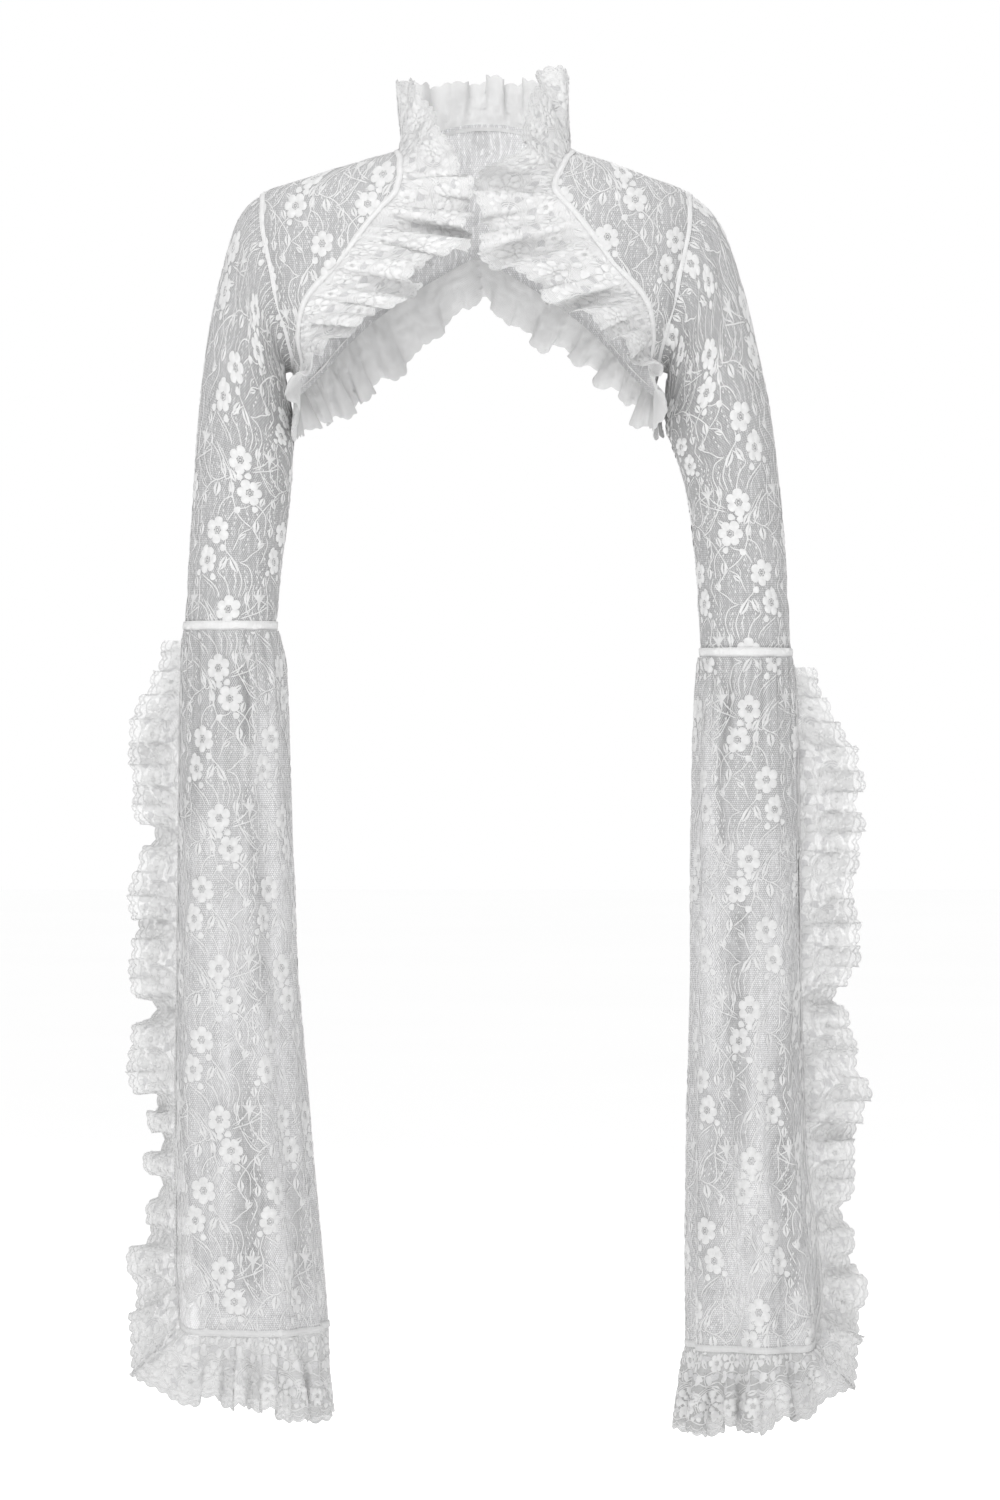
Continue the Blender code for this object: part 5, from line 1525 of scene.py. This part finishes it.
def finishes():
    """The finishes of all pieces, made on first use."""
    tone = bpy.context.scene.lace_colours
    hole, thread, dense, white = tone.net_hole, tone.net_thread, tone.ruffle, tone.thread
    # painted shade: the grey nets stand in for the shaded inside seen through them
    nets = {
        "sleeve_net": ((1, 1), 0.30, {"runs": 0.30}),
        # the back's inside is painted paler than its outside: painted light
        "back_net": ((1, 1), 0.25, {"shade": 0.45, "runs": 0.30,
            "reverse": (times(1.85, hole), times(1.33, thread))}),
        "bell_net": ((1.36, 1.06), 0.58, {"shade": 0.42, "runs": 0.16}),
        "open_net": ((1.25, 1.12), 0.10, {"cell": 0.0013}),
    }
    # hem_frill_net is a darker copy of the frill net with stronger painted shade, as the hem frill is seen from inside
    frills = {
        "frill_net": ((0.84, 0.95), 0.15, {}),
        "bell_frill_net": ((0.76, 0.90), 0.40, {}),
        "hem_frill_net": ((0.80, 0.87), 0.15, {"shade": 0.55}),
    }
    found = {}
    for name, (shares, open_share, settings) in nets.items():
        found[name] = made_once(name, net_material, times(shares[0], hole), times(shares[1], thread),
            open_share, **settings)
    for name, (shares, open_share, settings) in frills.items():
        found[name] = made_once(name, net_material, times(shares[0], dense), times(shares[1], dense),
            open_share, 0.0013, **settings)
    # bell_thread is a darker copy of lace_thread: painted shade on the bells
    for name, share in (("lace_thread", 1), ("frill_thread", 1.08), ("bell_thread", 0.94)):
        found[name] = made_once(name, thread_material, times(share, white))
    for name, share in (("tape_weave", 1), ("bell_tape", 0.84)):
        found[name] = made_once(name, tape_material, times(share, tone.tape))
    return found


def repeat_of(kind):
    """A flat repeat, charted on first use."""
    sizes = lace_sizes()
    name = kind + "_repeat"
    if bpy.data.objects.get(name):
        return bpy.data.objects[name]
    if kind == "floral":
        return floral_chart(sizes.repeat_width, sizes.repeat_height)
    if kind in ("ruffle", "opening"):
        chart = ruffle_chart if kind == "ruffle" else opening_chart
        return chart(round(sizes.scallops_per_rose) * sizes.scallop_width, scallop_of(sizes))
    return stitch_chart(name, sizes.stitch, 0.0022, 0.0007)


def laced(node, points, cut, net, origin, closed=False, creases=(), shade=None, outward=None, sign=1):
    """Net sheet in place of a node, dressed with the floral lace."""
    sizes = lace_sizes()
    finish = finishes()
    points = creased(points, cut, creases)
    points = settled(points * (sign, 1, 1))
    mesh = cloth_mesh(node + "_net", points, cut, closed, shade,
        outward if outward is None else outward * (sign, 1, 1))
    sheet(node + "_net", mesh, finish[net], node=node)
    thread = finish["bell_thread" if net == "bell_net" else "lace_thread"]
    draped(node + "_flowers", mesh, repeat_of("floral"), sizes.repeat_width, sizes.repeat_height, origin,
        thread)


def outward_from(points, centre):
    """Directions from a centre line, given as x and y, out through the points."""
    return points - points_of(centre[0], centre[1], points[..., 2])


def run_of(centre, closed):
    """Directions along a line; a closed one ends where it begins."""
    run = np.gradient(centre, axis=0)
    if closed:
        run[0] = run[-1] = centre[1] - centre[-2]
    return unit(run)


def strip_cut(centre, width, shares):
    """Flat layout of a strip along a line."""
    lengths = np.concatenate(([0.0], np.cumsum(np.linalg.norm(np.diff(centre, axis=0), axis=1))))
    return np.array([np.stack((lengths, np.full(len(lengths), width * s)), axis=-1) for s in shares])


def stitch_rows(name, mesh, offset):
    """A row of stitches along each edge of a strip."""
    for number, up in enumerate((-offset, offset)):
        draped(name + "_stitches" + str(number), mesh, repeat_of("stitch"), lace_sizes().stitch, 0.01,
            (0.0, up),
               finishes()["lace_thread"], rows=1, rise=0.0001)


def tape(name, slot, centre, across, width, rise=TAPE_RISE, closed=False, weave="tape_weave"):
    """Woven tape along a seam, crowned across, with a row of stitches by each edge."""
    run = run_of(centre, closed)
    across = unit(across - run * np.sum(across * run, axis=-1, keepdims=True))
    normal = np.cross(run, across)
    shares = np.linspace(-0.5, 0.5, TAPE_ROWS + 1)
    grid = np.array([centre + across * width * s + normal * (rise + TAPE_CROWN * (1 - 4 * s * s)) for s in shares])
    cut = strip_cut(centre, width, shares)
    mesh = cloth_mesh(name, grid, cut, closed, outward=np.broadcast_to(normal, grid.shape))
    sheet(name, mesh, finishes()[weave])
    stitch_rows(name, mesh, 0.32 * width)


class JACKET_OT_body(Operator):
    """Build the back and the two front panels"""
    bl_idname = "bolero.body"
    bl_label = "Body panels"

    def execute(self, context):
        points, cut = back_sheet()
        laced("back", points, cut, "back_net", (-0.020, -0.155),
            outward=outward_from(points, (0.0, 0.0)),
              creases=BACK_CREASES, shade=back_shade(cut))
        for side, sign in SIGN.items():
            points, cut = front_sheet()
            laced("front_" + side, points, cut, "sleeve_net", FRONT_ORIGIN[side], sign=sign,
                  outward=outward_from(points, (0.0, 0.0)), creases=FRONT_CREASES, shade=front_shade(cut))
        return {"FINISHED"}


def back_shade(cut):
    """Painted shade: darker towards the hem and by the armholes."""
    low = ease((-cut[..., 1] - 0.005) / 0.085)
    return np.maximum(0.45 * low, 0.5 * ease((np.abs(cut[..., 0]) - 0.12) / 0.08))


def front_shade(cut):
    """Painted shade: a little darker all over, and more towards the armhole and below it."""
    return 0.35 + 0.5 * ease((cut[..., 0] - 0.115) / 0.09) * ease((-cut[..., 1] - 0.05) / 0.1)


class JACKET_OT_body_ruffles(Operator):
    """Gather the collar, the front frills and the frill of the back's hem"""
    bl_idname = "bolero.body_ruffles"
    bl_label = "Body ruffles"

    def execute(self, context):
        side = NECK_RUN + FRONT_RUN
        stretches = (
            ("collar_ruffle", -NECK_RUN, NECK_RUN, -1),
            ("front_ruffle_right", -side, -NECK_RUN, -1),
            ("front_ruffle_left", NECK_RUN, side, -1),
        )
        for node, first, last, faces in stretches:
            gathered(node, body_ruffle_place, first, last, BODY_WAVE, faces)
        hem_frill()
        return {"FINISHED"}


def gathered(node, place, first, last, wave_length, faces, sign=1):
    """One ruffle with its corded lace."""
    sizes = lace_sizes()
    bell = node.startswith("bell")
    fine = RuffleFine(sizes.roll * 1.5, 1.2, 0.55) if node.startswith("front") else RuffleFine(sizes.roll, 1.0,
        0.3 if bell else 0.15)
    points, cut = ruffle_sheet(place, first, last, wave_length, scallop_of(sizes), fine)
    shade = None
    if bell:
        # painted shade darker towards the hem, and painted light (negative shade) on the upper parts
        up = points[..., 2]
        shade = (0.9 if sign > 0 else 0.45) * ease((-0.98 - up) / 0.08) - 0.55 * ease((up + 0.95) / 0.4)
    finish_ruffle(node, settled(points * (sign, 1, 1)), cut, faces, "bell_frill_net" if bell else "frill_net",
        shade)


def finish_ruffle(node, points, cut, faces, ground, shade=None):
    """Make a ruffle's sheet and lay its lace over its right side."""
    sizes = lace_sizes()
    finish = finishes()
    repeat = round(sizes.scallops_per_rose) * sizes.scallop_width
    mesh = cloth_mesh(node + "_net", points, cut, outward=grid_normals(points) * faces, shade=shade)
    thread = finish["frill_thread" if ground == "frill_net" else "bell_thread"]
    sheet(node + "_net", mesh, finish[ground], node=node, gathers=GUESSED_GATHERS)
    # painted shade: the sheer places are laid over the ruffle as nearly opaque grey net
    draped(node + "_open", mesh, repeat_of("opening"), repeat, RUFFLE_REPEAT_HEIGHT, (0.0, 0.0),
        finish["open_net"], rows=1, rise=0.00012)
    draped(node + "_cords", mesh, repeat_of("ruffle"), repeat, RUFFLE_REPEAT_HEIGHT, (0.0, 0.0), thread,
        rows=1, rise=0.0003)


def hem_frill():
    """The hem frill, from the left side seam round the back to the right."""
    sizes = lace_sizes()
    fine = RuffleFine(sizes.roll, 1.0, 0.35)
    side = NECK_RUN + FRONT_RUN
    left, left_cut = ruffle_sheet(body_ruffle_place, side, LOOP_RUN, BODY_WAVE, scallop_of(sizes), fine)
    right, right_cut = ruffle_sheet(body_ruffle_place, -LOOP_RUN, -side, BODY_WAVE, scallop_of(sizes), fine)
    middle = (left[:, -1] + right[:, 0]) / 2
    reach = np.linspace(1, 0, 14)[None, ::-1, None] ** 2
    left[:, -14:] += (middle - left[:, -1])[:, None] * reach
    right[:, :14] += (middle - right[:, 0])[:, None] * reach[:, ::-1]
    right_cut[..., 0] += left_cut[0, -1, 0]
    points = np.concatenate((left, right[:, 1:]), axis=1)
    cut = np.concatenate((left_cut, right_cut[:, 1:]), axis=1)
    # painted shade: darker by the seam under the front frills, and towards the sides
    depth = np.linspace(0, 1, points.shape[0])[:, None]
    from_centre = np.abs(np.linspace(-1, 1, points.shape[1]))[None, :]
    shade = (1 - ease(depth * 1.3)) * (0.35 + 0.5 * from_centre**2) + 0.25 * from_centre**4
    finish_ruffle("hem_ruffle", settled(points), cut, -1, "hem_frill_net", shade)


def sleeve_cut(points, columns_zero):
    """Flat layout of a sleeve: length round from a column, and length down."""
    across = lengths_along(points, 1)
    down = lengths_along(points, 0).mean(axis=1, keepdims=True)
    return np.stack((across - across[:, columns_zero:columns_zero + 1], -np.broadcast_to(down, across.shape)),
        axis=-1)


class JACKET_OT_sleeves(Operator):
    """Build the fitted upper and lower sleeves"""
    bl_idname = "bolero.sleeves"
    bl_label = "Fitted sleeves"

    def execute(self, context):
        for side, sign in SIGN.items():
            elbow, hem = ELBOW_REACH[side], ARMS[side][-1].reach
            turns = np.linspace(-pi, pi, ROUND_STEPS + 1)
            for part, first, last, rings in (("upper_sleeve_", 0.0, elbow, 90),
                ("lower_sleeve_", elbow, hem, 44)):
                reach = first + (last - first) * np.linspace(0, 1, rings + 1)
                points = arm_point(side, reach[:, None], turns[None, :])
                cut = sleeve_cut(points, ROUND_STEPS // 2 + ROUND_STEPS // 4)
                centre = points.mean(axis=1, keepdims=True)
                upper = part == "upper_sleeve_"
                laced(part + side, points, cut, "sleeve_net", SLEEVE_ORIGIN[part + side], closed=True,
                    sign=sign,
                      outward=points - centre, creases=SLEEVE_CREASES if upper else (),
                      shade=sleeve_shade(cut, upper, points))
        return {"FINISHED"}


def sleeve_shade(cut, upper, points):
    """Painted shade: darker near the underarm and down the inner side; the lower sleeve evenly darker."""
    if not upper:
        # painted shade: the lower sleeve is darker all over where it lies inside the bell
        return np.full(cut.shape[:2], 0.85)
    inner = 1 - (points[..., 0] - points[..., 0].min(axis=1, keepdims=True)) / np.ptp(points[..., 0],
        axis=1)[:, None]
    return 0.3 + 0.5 * ease(inner) * ease((0.30 + cut[..., 1]) / 0.25) + 0.15 * ease(inner)


def folded(points, folds):
    """Long soft folds down a bell, and how deep each point lies in them, which the bell takes as painted shade."""
    deep = np.zeros(points.shape[:2])
    for fold in folds:
        down = (fold.high_up - points[..., 2]) / (fold.high_up - fold.low_up)
        out = fold.high_out + (fold.low_out - fold.high_out) * down + 0.002 * np.sin(9 * down)
        fade = ease(down / 0.2) * ease((1 - down) / 0.2)
        deep += fold.depth * fade * np.exp(-(((points[..., 0] - out) / fold.width) ** 2))
    return points - grid_normals(points) * 0.0022 * deep[..., None], deep


class JACKET_OT_bells(Operator):
    """Build the slit bells and the ruffles round their edges"""
    bl_idname = "bolero.bells"
    bl_label = "Bells"

    def execute(self, context):
        for side, sign in SIGN.items():
            around = np.linspace(0, 1, 2 * ROUND_STEPS + 1)
            levels = np.linspace(0, 1, 91)
            share = bell_bottom(side, around)[None, :] * levels[:, None]
            points = bell_point(side, share, around[None, :])
            fade = np.exp(-share / 0.13)
            pleat = np.sin(2 * pi * 31 * around + 2.1 * np.sin(9.3 * around)) + 0.6 * np.sin(2 * pi * 17 * around + 1.0)
            points = points + grid_normals(points) * (-0.0010 * fade * pleat * ease(share / 0.02))[..., None]
            points, folds = folded(points, BELL_FOLDS[side])
            cut = sleeve_cut(points, int(0.24 * 2 * ROUND_STEPS))
            centre = points.mean(axis=1, keepdims=True)
            # painted shade on the bell: darker under the elbow band, in the gathers' hollows, along the fold troughs
            # and towards the hem; painted light where a fold stands out
            laced("bell_" + side, points, cut, "bell_net", BELL_ORIGIN[side], sign=sign,
                outward=points - centre,
                  creases=BELL_CREASES[side], shade=0.2 * np.exp(-share / 0.3) + 0.35 * fade * np.maximum(pleat, 0)
                + folds + 0.2 * ease(share * 1.6 - 0.5))

            def place(where, side=side):
                return bell_ruffle_place(side, where)

            gathered("bell_ruffle_" + side, place, BELL_RUFFLE_START, 1 - BELL_RUFFLE_START, 1 / BELL_WAVES,
                sign, sign=sign)
        return {"FINISHED"}


class JACKET_OT_tapes(Operator):
    """Sew the bindings, bands and seam tapes, with their stitches"""
    bl_idname = "bolero.tapes"
    bl_label = "Tapes and bands"

    def execute(self, context):
        width = lace_sizes().tape
        for side, sign in SIGN.items():
            mirror = np.array((sign, 1, 1))
            run = np.linspace(0.004, 1, 150)
            angle, drop = front_seam_place(run)
            arm_angle, arm_drop = armhole_place(pi * run)
            seam = body_point(angle, drop, -1)
            inner = body_point(angle + (arm_angle - angle) * 0.06, drop + (arm_drop - drop) * 0.06, -1)
            towards = unit(inner - seam)
            # the binding lies on the panel's side of the seam
            tape("front_binding_" + side, "front_" + side, settled((seam + towards * width * 0.4) * mirror),
                towards * mirror * sign, width)
            turn = np.linspace(0, 2 * pi, 161)
            hole = arm_point(side, 0.0, turn)
            next_ring = arm_point(side, 0.006, turn)
            inward = unit(hole - next_ring)
            tape("armhole_tape_" + side, "front_" + side, settled((hole + inward * 0.0012) * mirror),
                inward * mirror * -sign, 0.0058,
                 closed=True, rise=0.0012)
            elbow = ELBOW_REACH[side]
            band = arm_point(side, elbow, turn)
            down = unit(arm_point(side, elbow + 0.006, turn) - band)
            centre = band.mean(axis=0)
            proud = band + unit(band - centre) * 0.0018
            elbow_band(side, settled(proud * mirror), down * mirror * sign)
            hem = ARMS[side][-1].reach
            end = arm_point(side, hem - 0.0035, turn)
            down = unit(arm_point(side, hem, turn) - end)
            tape("cuff_tape_" + side, "lower_sleeve_" + side, settled(end * mirror), down * mirror * sign,
                0.0055, closed=True)
            edge = np.linspace(0.004, 0.996, 500)
            around, fall = bell_edge_place(side, edge)
            base = bell_point(side, fall, around)
            inside_around = around + 0.016 * (around < 0.02) - 0.016 * (around > 0.98)
            inside = bell_point(side, fall * (1 - 0.012 * ((around > 0.0) & (around < 1.0))), inside_around)
            inward = unit(inside - base)
            inward = smoothed(inward, 5)
            tape("bell_edge_tape_" + side, "bell_" + side, settled((base + inward * 0.0026) * mirror),
                inward * mirror * -sign, 0.0056,
                 rise=0.0007, weave="bell_tape")
            shoulder = np.linspace(0.001, SHOULDER_TIP_DROP, 30)
            line = body_point(np.zeros(30), shoulder, -1)
            tape("shoulder_tape_" + side, "back", settled(line * mirror),
                np.broadcast_to((0, -sign, 0), (30, 3)), 0.0040, rise=0.0005)
            down = np.linspace(UNDERARM_DROP + 0.001, SIDE_HEM_DROP, 12)
            line = body_point(np.zeros(12), down, -1)
            tape("side_tape_" + side, "back", settled(line * mirror), np.broadcast_to((0, -sign, 0), (12, 3)),
                0.0036, rise=0.0005)
        for name, turns, lows in (("neck_tape", np.linspace(0.02, pi - 0.02, 120), 1),
            ("hem_tape", np.linspace(0.02, pi - 0.02, 160), -1)):
            angle = np.where(turns > pi / 2, pi - turns, turns)
            drop = back_neck_drop(angle) if lows > 0 else back_hem_drop(angle)
            line = body_point(angle, drop, 1) * np.where(turns > pi / 2, -1.0, 1.0)[:,
                None] ** np.array((1, 0, 0))
            tape(name, "back", settled(line + (0, 0, -0.0028 * lows)),
                np.broadcast_to((0, 0, 1.0), line.shape), 0.0060, rise=0.0007)
        return {"FINISHED"}


def smoothed(vectors, count):
    """Directions evened out along their run."""
    padded = np.pad(vectors, ((count, count), (0, 0)), mode="edge")
    window = np.ones(2 * count + 1) / (2 * count + 1)
    return unit(np.stack([np.convolve(padded[:, k], window, mode="valid") for k in range(3)], axis=-1))


def elbow_band(side, centre, down):
    """Band over the elbow seam, in place of its node."""
    node = "elbow_band_" + side
    name = node + "_tape"
    sizes = lace_sizes()
    normal = np.cross(run_of(centre, closed=True), down)
    shares = np.linspace(-0.5, 0.5, 7)
    grid = np.array([centre + down * ELBOW_BAND_HEIGHT * s + normal * 0.0007 * (1 - (2 * s) ** 4) for s in shares])
    cut = strip_cut(centre, ELBOW_BAND_HEIGHT, shares)
    mesh = cloth_mesh(name, grid, cut, True, outward=np.broadcast_to(normal, grid.shape))
    sheet(name, mesh, finishes()["tape_weave"], node=node)
    draped(name + "_flowers", mesh, repeat_of("floral"), sizes.repeat_width, sizes.repeat_height, (0.01, -0.05),
           finishes()["frill_thread"], rise=0.0001)
    stitch_rows(name, mesh, 0.36 * ELBOW_BAND_HEIGHT)


def remove_repeats():
    """Take away the flat repeats, which were only the pattern for the lace laid on the sheets."""
    for name in ("floral_repeat", "ruffle_repeat", "opening_repeat", "stitch_repeat"):
        if bpy.data.objects.get(name):
            bpy.data.objects.remove(bpy.data.objects[name])


class JACKET_OT_stage(Operator):
    """Clear the flat repeats away and set the floor, the lights and the camera"""
    bl_idname = "bolero.stage"
    bl_label = "Stage"

    def execute(self, context):
        remove_repeats()
        tone = context.scene.lace_colours
        floor_mesh = bpy.data.meshes.new("floor")
        z = CAD_BOX[0][2] - 0.14
        floor_mesh.from_pydata([(-14, -9, z), (14, -9, z), (14, 30, z), (-14, 30, z)], [], [(0, 1, 2, 3)])
        material, tree, shader, _ = started_material("floor_paper")
        place = group_node(tree, "ShaderNodeTexCoord").outputs["Object"]
        tint = ranged(tree, noise(tree, place, 0.8, detail=2.0), 0.3, 0.7, 0.99, 1.01)
        tree.links.new(scaled(tree, tuple(tone.floor), tint), shader.inputs["Base Color"])
        shader.inputs["Roughness"].default_value = 0.9
        shader.inputs["Emission Color"].default_value = (1, 1, 1, 1)
        shader.inputs["Emission Strength"].default_value = 0.52
        floor_mesh.materials.append(material)
        stage = bpy.data.objects.new("floor", floor_mesh)
        context.scene.collection.objects.link(stage)
        world = bpy.data.worlds.new("studio")
        context.scene.world = world
        world.use_nodes = True
        sky = world.node_tree
        seen = sky.nodes.new("ShaderNodeLightPath").outputs["Is Camera Ray"]
        strength = sky.nodes.new("ShaderNodeMapRange")
        sky.links.new(seen, strength.inputs["Value"])
        strength.inputs[3].default_value = 0.50
        strength.inputs[4].default_value = 1.0
        background = sky.nodes["Background"]
        background.inputs["Color"].default_value = (1, 1, 1, 1)
        sky.links.new(strength.outputs[0], background.inputs["Strength"])
        for name, spot, size, power, aim in (
            ("front_softbox", (-0.7, -2.1, 1.0), 1.8, 34.0, (0, 0, -0.40)),
            ("side_softbox", (2.2, -1.8, 0.3), 1.8, 11.0, (0, 0, -0.5)),
            ("top_softbox", (0.0, 0.3, 2.2), 2.0, 20.0, (0, 0, -0.4)),
            ("back_softbox", (0.8, 2.7, 0.9), 2.0, 22.0, (0, 0, -0.5)),
        ):
            light = bpy.data.lights.new(name, "AREA")
            light.shape = "SQUARE"
            light.size = size
            light.energy = power
            lamp = bpy.data.objects.new(name, light)
            context.scene.collection.objects.link(lamp)
            lamp.location = spot
            lamp.rotation_euler = (Vector(aim) - Vector(spot)).to_track_quat("-Z", "Y").to_euler()
        view = bpy.data.cameras.new("photo_camera")
        view.sensor_fit = "VERTICAL"
        view.sensor_height = 36
        view.lens = 166.67
        view.clip_end = 100
        camera = bpy.data.objects.new("photo_camera", view)
        camera.location = (0.0207, -6.0, -0.520)
        camera.rotation_euler = (pi / 2, 0, 0)
        context.scene.collection.objects.link(camera)
        context.scene.camera = camera
        context.scene.view_settings.view_transform = "Standard"
        return {"FINISHED"}


class JACKET_PT_panel(Panel):
    """Sizes, colours and building steps"""
    bl_label = "Bolero jacket"
    bl_idname = "JACKET_PT_panel"
    bl_space_type = "VIEW_3D"
    bl_region_type = "UI"
    bl_category = "Bolero"

    def draw(self, context):
        for group in (context.scene.lace_sizes, context.scene.lace_colours):
            for name in group.__annotations__:
                self.layout.prop(group, name)
        for step in STEPS:
            self.layout.operator(step.bl_idname)


STEPS = (JACKET_OT_body, JACKET_OT_body_ruffles, JACKET_OT_sleeves, JACKET_OT_bells, JACKET_OT_tapes,
    JACKET_OT_stage)
CLASSES = (LaceSizes, LaceColours, *STEPS, JACKET_PT_panel)


def register():
    for each in CLASSES:
        bpy.utils.register_class(each)
    bpy.types.Scene.lace_sizes = PointerProperty(type=LaceSizes)
    bpy.types.Scene.lace_colours = PointerProperty(type=LaceColours)


def unregister():
    del bpy.types.Scene.lace_colours
    del bpy.types.Scene.lace_sizes
    for each in reversed(CLASSES):
        bpy.utils.unregister_class(each)


def main():
    register()
    bpy.ops.bolero.body()
    bpy.ops.bolero.body_ruffles()
    bpy.ops.bolero.sleeves()
    bpy.ops.bolero.bells()
    bpy.ops.bolero.tapes()
    bpy.ops.bolero.stage()


if __name__ == "__main__":
    main()
